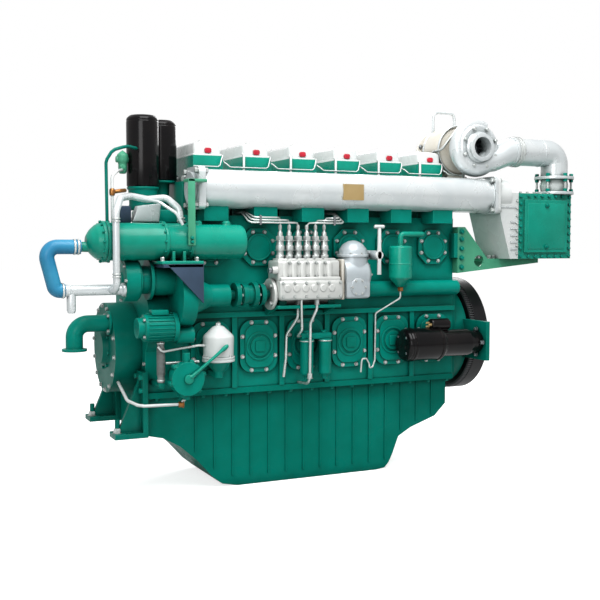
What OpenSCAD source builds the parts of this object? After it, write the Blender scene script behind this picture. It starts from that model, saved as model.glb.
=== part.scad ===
// Marine diesel engine, six cylinders in line, with its turbocharger, pumps, coolers and filters.
// Origin on the crank axis at the flywheel's output face, +X out of the flywheel, +Z up,
// -Y the side of the fuel pump. Lengths in millimetres.

/* [Cylinders] */
// Bore of one cylinder
bore_d = 200; // [190:1:205]
// Stroke of the pistons
stroke = 210; // [200:1:214]
// Distance between two cylinders
cyl_pitch = 250; // [248:1:262]
// Connecting rod, centre to centre
rod_len = 400; // [396:1:430]
// From the piston pin up to the crown
crown_h = 125; // [115:1:130]
// Wall of a cylinder liner
liner_wall = 15; // [12:1:16]
// From the flywheel's output face to the last cylinder
rear_gap = 350; // [345:1:380]
// From an end cylinder to the end of the crankcase
end_margin = 137; // [130:1:142]

/* [Crankcase] */
// Half width of the crankcase
block_half_w = 280; // [276:1:300]
// Side wall of the crankcase
block_wall = 20; // [16:1:24]
// Crank axis down to the oil pan joint
sump_joint_drop = 194; // [190:1:210]
// Bulkhead that carries a main bearing
bulkhead_t = 50; // [44:1:56]
// Height of the open crank space above the crank axis
chamber_top = 325; // [318:1:330]
// Width of a crankcase door
door_w = 196; // [180:1:204]
// Height of a crankcase door
door_h = 256; // [240:1:262]
// Thickness of a crankcase door or cam cover
door_t = 20; // [14:1:24]
// Width across a cam cover
cam_cover_w = 180; // [160:1:186]

/* [Crank and cams] */
// Diameter of the main journals
main_d = 150; // [140:1:152]
// Diameter of the crank pins
pin_d = 136; // [128:1:138]
// Thickness of a crank web
web_t = 41; // [36:1:42]
// Cam axis sideways from the crank axis
cam_out = 205; // [204:1:208]
// Module of the timing gears
gear_module = 4; // [3.9:0.05:4]
// Diameter of the flywheel
flywheel_d = 628; // [600:1:640]
// Width of the flywheel rim
flywheel_w = 100; // [90:1:104]

/* [Cylinder heads] */
// Height of a head with its rocker box
head_h = 286; // [270:1:300]
// Depth of a head, front to back
head_depth = 500; // [480:1:510]
// Width of the rocker box
rocker_w = 150; // [140:1:160]
// Height of a rocker cover
cover_h = 68; // [60:1:80]

/* [Oil pan] */
// Depth of the pan below its flange
pan_depth = 468; // [440:1:480]
// Width of the pan below its flange
pan_w = 470; // [440:1:500]
// Thickness of the pan's plates
pan_wall = 10; // [8:1:14]
// Height of the pan flange
pan_flange_h = 28; // [24:1:32]

/* [Air path] */
// Diameter of the charge-air pipe
air_pipe_d = 182; // [170:1:188]
// Charge-air pipe axis above the crank axis
air_pipe_z = 761; // [756:1:766]
// Clear gap between the heads and the charge-air pipe
air_pipe_gap = 9; // [6:1:14]
// Diameter of the compressor volute
volute_d = 306; // [290:1:310]
// Turbocharger axis above the crank axis
turbo_z = 1012; // [1008:1:1020]
// Diameter of the air elbow
elbow_d = 146; // [136:1:150]
// Height of the air cooler box
cooler_h = 352; // [340:1:356]
// Length of the air cooler box along the engine
cooler_l = 356; // [340:1:360]

/* [Auxiliaries] */
// Shell diameter of the heat exchanger
exchanger_d = 164; // [156:1:168]
// Body length of the fuel injection pump
fuel_pump_l = 338; // [330:1:345]
// Diameter of an oil filter can
oil_filter_d = 150; // [140:1:156]
// Diameter of the starter's body
starter_d = 168; // [156:1:172]

/* [Hidden] */

// Overrun of every cut, running gap between bodies and gap between nested pieces
over = 2;
run_gap = 0.4;
fit_gap = 0.3;
// Facets of round things, of small ones and of faceted pipes
fine = 64;
coarse = 32;
pipe_sides = 8;

cyl_count = 6;
throw_r = stroke / 2;
deck_gap = 10;
deck_z = throw_r + rod_len + crown_h + deck_gap;
air_pipe_y = head_depth / 2 + air_pipe_gap + air_pipe_d / 2;
liner_d = bore_d + 2 * liner_wall;
block_front = -rear_gap - (cyl_count - 1) * cyl_pitch - end_margin;
block_rear = -rear_gap + end_margin;
block_l = block_rear - block_front;
function cyl_x(i) = -rear_gap - (cyl_count - 1 - i) * cyl_pitch;
// Crank angle of each cylinder, turned about +X from straight up
crank_angles = [0, 120, 240, 240, 120, 0];
function pin_y(i) = -throw_r * sin(crank_angles[i]);
function pin_z(i) = throw_r * cos(crank_angles[i]);
function wrist_z(i) = pin_z(i) + sqrt(rod_len * rod_len - pin_y(i) * pin_y(i));

// A profile drawn in Y and Z, carried along +X
module profile_x(l) { rotate([90, 0, 90]) linear_extrude(l) children(); }
// A profile drawn in X and Z, carried along +Y
module profile_y(l) { translate([0, l, 0]) rotate([90, 0, 0]) linear_extrude(l) children(); }
// Round bars along each axis, from the origin in the positive direction
module rod_x(d, l, fn = fine) { rotate([0, 90, 0]) cylinder(d = d, h = l, $fn = fn); }
module rod_y(d, l, fn = fine) { rotate([-90, 0, 0]) cylinder(d = d, h = l, $fn = fn); }
module rod_z(d, l, fn = fine) { cylinder(d = d, h = l, $fn = fn); }
module cone_x(d1, d2, l, fn = fine) { rotate([0, 90, 0]) cylinder(d1 = d1, d2 = d2, h = l, $fn = fn); }
// Flat box between two corners
module box(a, b) { translate(a) cube(b - a); }
// Ring of children round the local z axis
module ring(count, r, start = 0) {
    for (k = [0 : count - 1]) rotate([0, 0, start + k * 360 / count]) translate([r, 0, 0]) children();
}
// Rectangle with rounded corners, exact arcs
module round_rect(w, h, r) {
    square([w - 2 * r, h], center = true);
    square([w, h - 2 * r], center = true);
    for (sx = [-1, 1], sy = [-1, 1]) translate([sx * (w / 2 - r), sy * (h / 2 - r)]) circle(r, $fn = coarse);
}

// Faceted round pipe along a route whose corners are rounded
function unit(v) = v / norm(v);
function arc_points(a, b, c, r, n) =
    let (u = unit(a - b), w = unit(c - b), half = acos(max(-1, min(1, u * w))) / 2, t = r / tan(half),
        mid = b + unit(u + w) * r / sin(half), s = b + u * t - mid, e = b + w * t - mid, sweep = 180 - 2 * half)
    [for (k = [0 : n]) mid + (sin(sweep * (1 - k / n)) * s + sin(sweep * k / n) * e) / sin(sweep)];
function route(p, r, n = 4) = [for (i = [0 : len(p) - 1])
    each (i == 0 || i == len(p) - 1 ? [p[i]] : arc_points(p[i - 1], p[i], p[i + 1], r, n))];
function tangents(p) = [for (i = [0 : len(p) - 1]) unit(p[min(i + 1, len(p) - 1)] - p[max(i - 1, 0)])];
function across(v) = unit(cross(v, abs(v.z) < 0.9 ? [0, 0, 1] : [1, 0, 0]));
function drop_along(n, t) = unit(n - (n * t) * t);
function normals(t) = [for (i = 0, n = across(t[0]); i < len(t); i = i + 1,
    n = drop_along(n, t[min(i, len(t) - 1)])) n];
function rings_of(p, radii, sides) = let (t = tangents(p), n = normals(t))
    [for (i = [0 : len(p) - 1], k = [0 : sides - 1]) let (a = 360 * k / sides)
        p[i] + radii[i] * (cos(a) * n[i] + sin(a) * cross(t[i], n[i]))];
function tube_faces(rings, sides, first, flip) = [for (i = [0 : rings - 2], k = [0 : sides - 1])
    let (a = first + i * sides + k, b = first + i * sides + (k + 1) % sides)
    each (flip ? [[a, a + sides, b], [b, a + sides, b + sides]] : [[a, b, a + sides], [b, b + sides, a + sides]])];
function cap_faces(first, sides, flip) = [for (k = [1 : sides - 2])
    flip ? [first, first + k + 1, first + k] : [first, first + k, first + k + 1]];
module swept(p, radii, sides) {
    count = len(p);
    polyhedron(points = rings_of(p, radii, sides), faces = concat(tube_faces(count, sides, 0, true),
        cap_faces(0, sides, false), cap_faces((count - 1) * sides, sides, true)), convexity = 6);
}
module pipe(p, d, bend, sides = pipe_sides, n = 3) {
    line = route(p, bend, n);
    swept(line, [for (q = line) d / 2], sides);
}

// Crankcase: hollow block with bulkheads, liner bores, cam pockets and door openings
chamber_l = cyl_pitch - bulkhead_t;
bearing_gap = 0.05;
cap_w = 220;
cap_drop = 125;
cam_pocket_in = 142;
cam_pocket_low = 330;
cam_pocket_high = 560;
cam_pocket_l = 186;
cam_journal_d = 76;
cam_cover_drop = 152;
cam_cover_z = deck_z - cam_cover_drop;
cam_hole_d = 142;
door_z = 5;
door_hole_w = 150;
door_hole_h = 206;
door_corner = 60;
liner_flange_w = 8;
liner_flange_h = 12;
ledge_z = 150;
ledge_h = 24;
ledge_out = 24;
rib_w = 26;
rib_out = 16;
lug_l = 22;
lug_low = 430;
lug_high = 560;
lug_out = 48;
push_rod_d = 16;
push_rod_hole_d = 30;
push_rod_apart = 38;

module stadium(w, h) {
    translate([0, (h - w) / 2]) circle(w / 2, $fn = fine);
    translate([0, -(h - w) / 2]) circle(w / 2, $fn = fine);
    square([w, h - w], center = true);
}
module octagon(w, cut) {
    a = w / 2;
    polygon([[-a, -a + cut], [-a + cut, -a], [a - cut, -a], [a, -a + cut],
        [a, a - cut], [a - cut, a], [-a + cut, a], [-a, a - cut]]);
}
module crankcase() color([0.04, 0.6, 0.47]) difference() {
    union() {
        box([block_front, -block_half_w, -sump_joint_drop], [block_rear, block_half_w, deck_z]);
        for (side = [-1, 1]) translate([block_front, side * (block_half_w + ledge_out / 2) - ledge_out / 2, ledge_z])
            cube([block_l, ledge_out, ledge_h]);
        for (i = [0 : cyl_count - 2], side = [-1, 1])
            translate([cyl_x(i) + (cyl_pitch - rib_w) / 2, side * (block_half_w + rib_out / 2) - rib_out / 2,
                -sump_joint_drop]) cube([rib_w, rib_out, sump_joint_drop + ledge_z]);
        for (side = [-1, 1]) translate([block_rear - lug_l, side * (block_half_w + lug_out / 2) - lug_out / 2, lug_low])
            cube([lug_l, lug_out, lug_high - lug_low]);
    }
    for (i = [0 : cyl_count - 1]) {
        box([cyl_x(i) - chamber_l / 2, -block_half_w + block_wall, -sump_joint_drop - over],
            [cyl_x(i) + chamber_l / 2, block_half_w - block_wall, chamber_top]);
        translate([cyl_x(i), 0, liner_low - over]) rod_z(liner_d + 2 * fit_gap, deck_z);
        translate([cyl_x(i), 0, deck_z - liner_flange_h - fit_gap])
            rod_z(liner_d + 2 * liner_flange_w + 2 * fit_gap, liner_flange_h + over);
        box([cyl_x(i) - cam_pocket_l / 2, -block_half_w + block_wall, cam_pocket_low],
            [cyl_x(i) + cam_pocket_l / 2, -cam_pocket_in, cam_pocket_high]);
        translate([cyl_x(i), -block_half_w - over, cam_cover_z]) rod_y(cam_hole_d, block_wall + 2 * over);
        for (side = [-1, 1]) translate([cyl_x(i), side * (block_half_w - block_wall / 2), door_z])
            translate([0, -block_wall / 2 - over, 0]) profile_y(block_wall + 2 * over)
                stadium(door_hole_w, door_hole_h);
        for (s = [-1, 1]) translate([cyl_x(i) + s * push_rod_apart, -cam_out, cam_pocket_high - over])
            rod_z(push_rod_hole_d, deck_z, coarse);
    }
    translate([block_front - over, 0, 0]) rod_x(main_d + 2 * bearing_gap, block_l + 2 * over);
    box([block_front - over, -cap_w / 2 - fit_gap, -sump_joint_drop - over],
        [block_rear + over, cap_w / 2 + fit_gap, 0]);
    translate([block_front - over, -cam_out, cam_z])
        rod_x(cam_journal_d + 2 * bearing_gap, block_l - block_wall);
}

// Main bearing caps, one under each bulkhead and one at each end
function cap_x(k) = k == 0 ? block_front + over : k == cyl_count ? block_rear - over - end_cap_l
    : cyl_x(k - 1) + (cyl_pitch - bulkhead_t) / 2;
function cap_l(k) = k == 0 || k == cyl_count ? end_cap_l : bulkhead_t;
end_cap_l = end_margin - chamber_l / 2 - 2 * over;
module main_bearing_caps() color("silver") for (k = [0 : cyl_count]) difference() {
    translate([cap_x(k), -cap_w / 2, -cap_drop]) cube([cap_l(k), cap_w, cap_drop - fit_gap]);
    translate([cap_x(k) - over, 0, 0]) rod_x(main_d + 2 * bearing_gap, cap_l(k) + 2 * over);
}

// Cylinder liners
liner_low = 240;
module cylinder_liners() color("silver") for (i = [0 : cyl_count - 1]) translate([cyl_x(i), 0, 0]) difference() {
    union() {
        translate([0, 0, liner_low]) rod_z(liner_d, deck_z - liner_low);
        translate([0, 0, deck_z - liner_flange_h]) rod_z(liner_d + 2 * liner_flange_w, liner_flange_h);
    }
    translate([0, 0, liner_low - over]) rod_z(bore_d, deck_z - liner_low + 2 * over);
}

// Crankcase doors on both sides, each a rounded plate with a raised centre
door_boss_d = 96;
door_boss_h = 8;
door_frame = 24;
module crankcase_doors() color([0.04, 0.6, 0.47]) for (i = [0 : cyl_count - 1], side = [-1, 1])
    translate([cyl_x(i), side * block_half_w, door_z]) scale([1, side, 1]) {
        profile_y(door_t) round_rect(door_w, door_h, door_corner);
        translate([0, door_t, 0]) profile_y(door_boss_h) round_rect(door_w - 2 * door_frame,
            door_h - 2 * door_frame, door_corner - door_frame / 2);
        translate([0, door_t + door_boss_h, 0]) rod_y(door_boss_d, door_boss_h);
    }

// Cam covers on the pump side
cam_cover_cut = 48;
cam_cover_frame = 22;
module camshaft_covers() color([0.04, 0.6, 0.47]) for (i = [0 : cyl_count - 1])
    translate([cyl_x(i), -block_half_w, cam_cover_z]) scale([1, -1, 1]) {
        profile_y(door_t) octagon(cam_cover_w, cam_cover_cut);
        translate([0, door_t, 0]) rod_y(cam_cover_w - 2 * cam_cover_frame, door_boss_h);
    }

// Bolt heads of the doors and covers, standing on the plates
bolt_d = 20;
bolt_h = 10;
door_bolt_x_share = [-1, -1, 1, 1, -0.46, 0.46, -0.46, 0.46];
door_bolt_z_share = [-0.42, 0.42, -0.42, 0.42, -1, -1, 1, 1];
door_bolt_in = 12;
cam_bolts = 8;
cam_bolt_in = 11;
module hex_head(d, h) { rotate([-90, 0, 0]) cylinder(d = d, h = h, $fn = 6); }
module cover_bolts() color("silver") for (i = [0 : cyl_count - 1]) {
    for (side = [-1, 1], k = [0 : len(door_bolt_x_share) - 1])
        translate([cyl_x(i) + door_bolt_x_share[k] * (door_w / 2 - door_bolt_in), side * (block_half_w + door_t),
            door_z + door_bolt_z_share[k] * (door_h / 2 - door_bolt_in)]) scale([1, side, 1]) hex_head(bolt_d, bolt_h);
    translate([cyl_x(i), -block_half_w - door_t, cam_cover_z]) for (k = [0 : cam_bolts - 1])
        rotate([0, (k + 0.5) * 360 / cam_bolts, 0]) translate([cam_cover_w / 2 - cam_bolt_in, 0, 0])
            scale([1, -1, 1]) hex_head(bolt_d, bolt_h);
}

// Oil pan: plate box whose depth follows the sump outline, with upright ribs
case_len = 175;
case_front = block_front - case_len;
pan_flange_out = 60;
pan_top = -sump_joint_drop - pan_flange_h;
pan_rear = block_rear - pan_wall;
pan_bottom_share = [0.386, 0.43, 0.53, 0.69, 0.87, 0.965, 1, 1, 0.985, 0.93, 0.84, 0.64, 0.55, 0.44, 0.3, 0.1];
pan_along_share = [0, 0.055, 0.105, 0.155, 0.2, 0.232, 0.28, 0.745, 0.775, 0.79, 0.803, 0.825, 0.87, 0.96, 1, 1];
pan_l = pan_rear - case_front;
pan_rib_count = 15;
pan_rib_w = 8;
pan_rib_out = 5;
pan_rib_first = 250;
drain_d = 60;
drain_l = 30;
function pan_outline(inset) = concat([[inset, over]], [for (k = [0 : len(pan_along_share) - 1])
    [max(inset, min(pan_l - inset, pan_along_share[k] * pan_l)), min(-pan_bottom_share[k] * pan_depth + inset, 0)]],
    [[pan_l - inset, over]]);
function pan_floor(x) = lookup(x, [for (k = [0 : len(pan_along_share) - 1])
    [pan_along_share[k] * pan_l + k * fit_gap, -pan_bottom_share[k] * pan_depth]]);
module oil_pan() color([0, 0.48, 0.37]) {
    difference() {
        union() {
            box([case_front, -block_half_w - pan_wall, pan_top], [block_rear, block_half_w + pan_wall, -sump_joint_drop]);
            translate([case_front, -pan_w / 2, pan_top]) profile_y(pan_w) polygon(pan_outline(0));
        }
        translate([case_front, -pan_w / 2 + pan_wall, pan_top]) profile_y(pan_w - 2 * pan_wall)
            polygon(pan_outline(pan_wall));
        box([case_front + pan_wall, -pan_w / 2 + pan_wall, pan_top - over],
            [pan_rear - pan_wall, pan_w / 2 - pan_wall, -sump_joint_drop + over]);
    }
    for (k = [0 : pan_rib_count - 1], side = [-1, 1]) {
        x = pan_rib_first + k * (pan_l - pan_rib_first) / pan_rib_count;
        translate([case_front + x, side * (pan_w / 2 + pan_rib_out / 2) - pan_rib_out / 2,
            pan_top + pan_floor(x) * 0.9]) cube([pan_rib_w, pan_rib_out, -pan_floor(x) * 0.9]);
    }
}

// Timing gears: straight-flanked teeth, module and tooth counts set the centres
crank_teeth = 28;
idler_teeth = 78;
cam_teeth = 56;
water_teeth = 24;
gear_t = 34;
gear_gap = 6;
wheel_stand = 18;
rear_gear_x = block_front - wheel_stand - gear_t;
front_gear_x = rear_gear_x - gear_gap - gear_t;
wide_gear_t = 2 * gear_t + gear_gap;
lobe_x = rear_gear_x - wheel_stand;
tooth_high_share = 0.9;
tooth_low_share = 1.25;
half_tooth_share = 0.235;
function pitch_r(teeth) = gear_module * teeth / 2;
function tooth(teeth, k, r, share) = let (a = 360 * (k + share) / teeth) [r * cos(a), r * sin(a)];
function gear_points(teeth) = let (r = pitch_r(teeth), top = r + tooth_high_share * gear_module,
    low = r - tooth_low_share * gear_module) [for (k = [0 : teeth - 1])
    each [tooth(teeth, k, low, -0.36), tooth(teeth, k, r, -half_tooth_share), tooth(teeth, k, top, -0.11),
        tooth(teeth, k, top, 0.11), tooth(teeth, k, r, half_tooth_share), tooth(teeth, k, low, 0.36)]];
// Angle of the first tooth of the second gear that meshes with the first, theta from first to second
function mesh_phase(theta, phase, t1, t2) = theta + 180 - (0.5 - (theta - phase) * t1 / 360) * 360 / t2;
module gear(teeth, phase, t, hole) profile_x(t) difference() {
    rotate(phase) polygon(gear_points(teeth));
    if (hole > 0) circle(d = hole, $fn = fine);
}
idler_r = pitch_r(crank_teeth) + pitch_r(idler_teeth);
drive_y = 397;
drive_z = 263;
drive_far = norm([drive_y, drive_z]);
drive_near = pitch_r(idler_teeth) + pitch_r(cam_teeth);
idler_turn = acos((idler_r * idler_r + drive_far * drive_far - drive_near * drive_near) / (2 * idler_r * drive_far));
idler_angle = atan2(drive_z, -drive_y) - idler_turn;
idler_y = idler_r * cos(idler_angle);
idler_z = idler_r * sin(idler_angle);
// The cam axis stands where its gear meets the idler, at the stated distance out
cam_z = idler_z + sqrt(drive_near * drive_near - (idler_y + cam_out) * (idler_y + cam_out));
cam_angle = atan2(cam_z - idler_z, -cam_out - idler_y);
drive_angle = atan2(drive_z - idler_z, -drive_y - idler_y);
water_r = pitch_r(cam_teeth) + pitch_r(water_teeth);
water_angle = 204;
water_y = -cam_out + water_r * cos(water_angle);
water_z = cam_z + water_r * sin(water_angle);
idler_phase = mesh_phase(idler_angle, 0, crank_teeth, idler_teeth);
cam_phase = mesh_phase(cam_angle, idler_phase, idler_teeth, cam_teeth);
drive_phase = mesh_phase(drive_angle, idler_phase, idler_teeth, cam_teeth);
water_phase = mesh_phase(water_angle, cam_phase, cam_teeth, water_teeth);

// Gear case: housing plate with its lobes, closed in front, open to the crankcase
case_wall = 16;
case_top = 600;
case_gap = 5;
case_half_w = 270;
bell_l = 96;
bell_d1 = 190;
bell_d2 = 104;
shaft_tube_l = 92;
crank_nose_d = 100;
idler_pin_d = 60;
filter_deck_w = 340;
function lobe_r(teeth) = pitch_r(teeth) + gear_module + case_gap + case_wall;
module case_shape(inset) {
    translate([-case_half_w + inset, -sump_joint_drop + inset])
        square([2 * case_half_w - 2 * inset, case_top + sump_joint_drop - 2 * inset]);
    translate([-cam_out, cam_z]) circle(lobe_r(cam_teeth) - inset, $fn = fine);
    translate([idler_y, idler_z]) circle(lobe_r(idler_teeth) - inset, $fn = fine);
    translate([water_y, water_z]) circle(lobe_r(water_teeth) - inset, $fn = fine);
}
module gear_case() color([0.04, 0.6, 0.47]) {
    difference() {
        union() {
            translate([case_front, 0, 0]) profile_x(case_len) case_shape(0);
            translate([lobe_x, -drive_y, drive_z]) rod_x(2 * lobe_r(cam_teeth), block_front - lobe_x);
        }
        translate([case_front + case_wall, 0, 0]) profile_x(case_len - 2 * case_wall) case_shape(case_wall);
        translate([lobe_x + case_wall - over, -drive_y, drive_z])
            rod_x(2 * (lobe_r(cam_teeth) - case_wall), block_front - lobe_x - 2 * case_wall + over);
        translate([case_front - over, 0, 0]) rod_x(crank_nose_d + 2 * fit_gap, case_wall + 2 * over);
        translate([block_front - case_wall - over, 0, 0]) rod_x(main_d + 2 * fit_gap, case_wall + 2 * over);
        translate([block_front - case_wall - over, -cam_out, cam_z])
            rod_x(cam_journal_d + 2 * fit_gap, case_wall + 2 * over);
        translate([block_front - case_wall - over, -drive_y, drive_z])
            rod_x(drive_shaft_d + 2 * fit_gap, case_wall + 2 * over);
        translate([case_front - over, water_y, water_z]) rod_x(water_shaft_d + 2 * fit_gap, case_wall + 2 * over);
    }
    translate([case_front + case_wall, idler_y, idler_z]) rod_x(idler_pin_d, case_len - 2 * case_wall);
    translate([block_front, -drive_y, drive_z]) difference() {
        union() {
            cone_x(bell_d1, bell_d2, bell_l);
            translate([bell_l, 0, 0]) rod_x(bell_d2, shaft_tube_l);
        }
        translate([-over, 0, 0]) rod_x(drive_shaft_d + 2 * fit_gap, bell_l + shaft_tube_l + 2 * over);
    }
}

// Front feet: a plate bolted to the gear case and the pan, a foot with its bolt holes and a gusset
foot_in = 202;
foot_out = 312;
foot_l = 157;
foot_low = -398;
foot_high = -92;
foot_t = 24;
foot_hole_d = 26;
foot_hole_pitch = 80;
foot_hole_in = 52;
jack_d = 24;
jack_up = 60;
module front_feet() color([0, 0.46, 0.36]) for (side = [-1, 1]) scale([1, side, 1]) difference() {
    union() {
        box([case_front - foot_t - fit_gap, foot_in, foot_low], [case_front - fit_gap, foot_out, foot_high]);
        box([case_front - foot_l, foot_in, foot_low], [case_front - fit_gap, foot_out, foot_low + foot_t]);
        translate([0, (foot_in + foot_out - foot_t) / 2, 0]) profile_y(foot_t) polygon([
            [case_front - foot_l + foot_t, foot_low + foot_t], [case_front - foot_t, foot_low + foot_t],
            [case_front - foot_t, foot_high - foot_t]]);
        translate([case_front - foot_l + jack_d, (foot_in + foot_out) / 2, foot_low + foot_t])
            rod_z(jack_d, jack_up, coarse);
    }
    for (s = [-1, 1]) translate([case_front - foot_l / 2 - foot_t / 2, (foot_in + foot_out) / 2 + s * foot_hole_pitch / 2,
        foot_low - over]) rod_z(foot_hole_d, foot_t + 2 * over, coarse);
}

// Front cover round the crank nose and the damper behind it
cover_round_d = 436;
cover_round_l = 128;
cover_round_wall = 12;
cover_hub_d = 180;
cover_hub_l = 26;
damper_d = 392;
damper_t = 76;
damper_stand = 22;
module front_cover() color([0, 0.5, 0.42]) difference() {
    union() {
        translate([case_front - cover_round_l, 0, 0]) rod_x(cover_round_d, cover_round_l);
        translate([case_front - cover_round_l - cover_hub_l, 0, 0]) cone_x(cover_hub_d - cover_hub_l, cover_hub_d, cover_hub_l);
    }
    translate([case_front - cover_round_l + cover_round_wall, 0, 0])
        rod_x(cover_round_d - 2 * cover_round_wall, cover_round_l - cover_round_wall + over);
}
module vibration_damper() color("dimgray") difference() {
    translate([case_front - damper_stand - damper_t, 0, 0]) rod_x(damper_d, damper_t);
    translate([case_front - damper_stand - damper_t - over, 0, 0])
        rod_x(crank_nose_d + 2 * bearing_gap, damper_t + 2 * over);
}

// Crankshaft with webs, pins, nose, crank gear and flywheel flange
web_pin_w = 170;
web_r = 104;
weight_r = 186;
weight_w = 200;
crank_flange_d = 240;
crank_flange_t = 32;
main_l = 84;
pin_l = cyl_pitch - 2 * web_t - main_l;
module web() {
    circle(web_r, $fn = fine);
    translate([0, throw_r]) circle(d = web_pin_w, $fn = fine);
    translate([-web_pin_w / 2, 0]) square([web_pin_w, throw_r]);
    intersection() {
        circle(weight_r, $fn = fine);
        translate([-weight_w / 2, -weight_r]) square([weight_w, weight_r]);
    }
}
crank_rear = -flywheel_w;
module crankshaft() color("silver") difference() {
    union() {
        for (i = [0 : cyl_count - 1]) translate([cyl_x(i), 0, 0]) rotate([crank_angles[i], 0, 0]) {
            for (s = [-1, 1]) translate([s * (pin_l + web_t) / 2 - web_t / 2, 0, 0]) profile_x(web_t) web();
            translate([-pin_l / 2 - over, 0, throw_r]) rod_x(pin_d, pin_l + 2 * over);
        }
        for (i = [0 : cyl_count - 2])
            translate([cyl_x(i) + (cyl_pitch - main_l) / 2 - over, 0, 0]) rod_x(main_d, main_l + 2 * over);
        translate([block_front - over, 0, 0]) rod_x(main_d, cyl_x(0) - pin_l / 2 - web_t + over - block_front + over);
        translate([cyl_x(cyl_count - 1) + pin_l / 2 + web_t - over, 0, 0])
            rod_x(main_d, crank_rear - cyl_x(cyl_count - 1) - pin_l / 2 - web_t + over);
        translate([crank_rear - crank_flange_t, 0, 0]) rod_x(crank_flange_d, crank_flange_t);
        translate([case_front - cover_round_l + cover_round_wall + over, 0, 0])
            rod_x(crank_nose_d, block_front - case_front + cover_round_l - cover_round_wall);
        translate([front_gear_x, 0, 0]) gear(crank_teeth, 0, wide_gear_t, 0);
    }
}

// Flywheel with its bolt circle, and the ring gear shrunk on its front edge
ring_teeth = 144;
pinion_teeth = 12;
ring_module = 4.3;
ring_w = 24;
ring_seat_d = ring_module * ring_teeth - 5 * ring_module;
fly_bore_d = 80;
fly_bolts = 12;
fly_pcd = 190;
fly_bolt_d = 22;
coupling_pcd = 438;
coupling_bolts = 8;
coupling_hole_d = 21;
fly_dish = 34;
module flywheel() color([0.06, 0.06, 0.07]) difference() {
    union() {
        translate([-flywheel_w, 0, 0]) rod_x(ring_seat_d, flywheel_w, 128);
        translate([-flywheel_w + ring_w, 0, 0]) rod_x(flywheel_d, flywheel_w - ring_w, 128);
    }
    translate([-flywheel_w - over, 0, 0]) rod_x(fly_bore_d, flywheel_w + 2 * over);
    translate([-fly_dish, 0, 0]) rod_x(fly_pcd + 3 * fly_bolt_d, fly_dish + over);
    translate([-flywheel_w - over, 0, 0]) rotate([90, 0, 90]) ring(fly_bolts, fly_pcd / 2)
        rod_z(fly_bolt_d, flywheel_w + 2 * over, coarse);
    translate([-flywheel_w - over, 0, 0]) rotate([90, 0, 90]) ring(coupling_bolts, coupling_pcd / 2)
        rod_z(coupling_hole_d, flywheel_w + 2 * over, coarse);
}
function ring_points(teeth, m) = let (r = m * teeth / 2) [for (k = [0 : teeth - 1])
    each [tooth(teeth, k, r - m, -0.3), tooth(teeth, k, r + 0.8 * m, -0.12),
        tooth(teeth, k, r + 0.8 * m, 0.12), tooth(teeth, k, r - m, 0.3)]];
module ring_gear() color("dimgray") translate([-flywheel_w, 0, 0]) profile_x(ring_w - fit_gap) difference() {
    polygon(ring_points(ring_teeth, ring_module));
    circle(d = ring_seat_d + 2 * fit_gap, $fn = 128);
}

// Flywheel housing on the rear of the crankcase, with the ear that carries the starter
housing_d = 566;
housing_rear = -flywheel_w - 12;
housing_face_t = 18;
ear_t = 22;
ear_out = 482;
ear_low = -110;
ear_high = 96;
seal_d = crank_flange_d + 10;
starter_y = 402;
starter_z = -14;
pinion_y = ring_module * (ring_teeth + pinion_teeth) / 2 + 1;
pinion_hole_d = 74;
module flywheel_housing() color([0.02, 0.42, 0.33]) difference() {
    union() {
        translate([block_rear, 0, 0]) rod_x(housing_d, housing_rear - block_rear);
        box([block_rear, -block_half_w, -sump_joint_drop], [block_rear + housing_face_t, block_half_w, housing_d / 2]);
        box([housing_rear - ear_t, -ear_out, ear_low], [housing_rear, -housing_d / 4, ear_high]);
    }
    translate([block_rear + housing_face_t, 0, 0])
        rod_x(housing_d - 2 * housing_face_t, housing_rear - block_rear);
    translate([block_rear - over, 0, 0]) rod_x(seal_d, housing_face_t + 2 * over);
    translate([housing_rear - ear_t - over, -pinion_y, starter_z]) rod_x(pinion_hole_d, ear_t + 2 * over);
}

// Cylinder heads with their rocker boxes, ports and push rod holes
head_base_h = 160;
head_base_l = 238;
head_shift = 10;
box_in = 12;
port_d = 56;
port_z = 36;
head_nut_d = 44;
module cylinder_heads() color([0.04, 0.6, 0.47]) for (i = [0 : cyl_count - 1]) translate([cyl_x(i), 0, deck_z]) difference() {
    union() {
        box([-head_base_l / 2, -head_depth / 2, 0], [head_base_l / 2, head_depth / 2, head_base_h]);
        box([head_shift - rocker_w / 2, -head_depth / 2, 0], [head_shift + rocker_w / 2, head_depth / 2, head_h]);
    }
    box([head_shift - rocker_w / 2 + box_in, -head_depth / 2 + box_in, head_base_h + box_in],
        [head_shift + rocker_w / 2 - box_in, head_depth / 2 - box_in, head_h + over]);
    for (side = [-1, 1]) translate([0, side * (head_depth / 2 - port_d / 2) - port_d / 2 - over, port_z])
        rod_y(port_d, port_d + 2 * over);
    for (s = [-1, 1]) translate([s * push_rod_apart, -cam_out, -over])
        rod_z(push_rod_hole_d, head_base_h + box_in + 2 * over, coarse);
}

// Rocker covers with a plain red disc on the front of each
tag_d = 26;
tag_t = 2;
module rocker_covers() for (i = [0 : cyl_count - 1]) translate([cyl_x(i) + head_shift, 0, deck_z + head_h]) {
    color("white") difference() {
        box([-rocker_w / 2, -head_depth / 2, 0], [rocker_w / 2, head_depth / 2, cover_h]);
        box([-rocker_w / 2 + box_in, -head_depth / 2 + box_in, -over], [rocker_w / 2 - box_in, head_depth / 2 - box_in,
            cover_h - box_in]);
    }
    color("red") translate([0, -head_depth / 2 - tag_t, cover_h / 3]) rod_y(tag_d, tag_t);
}

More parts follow.
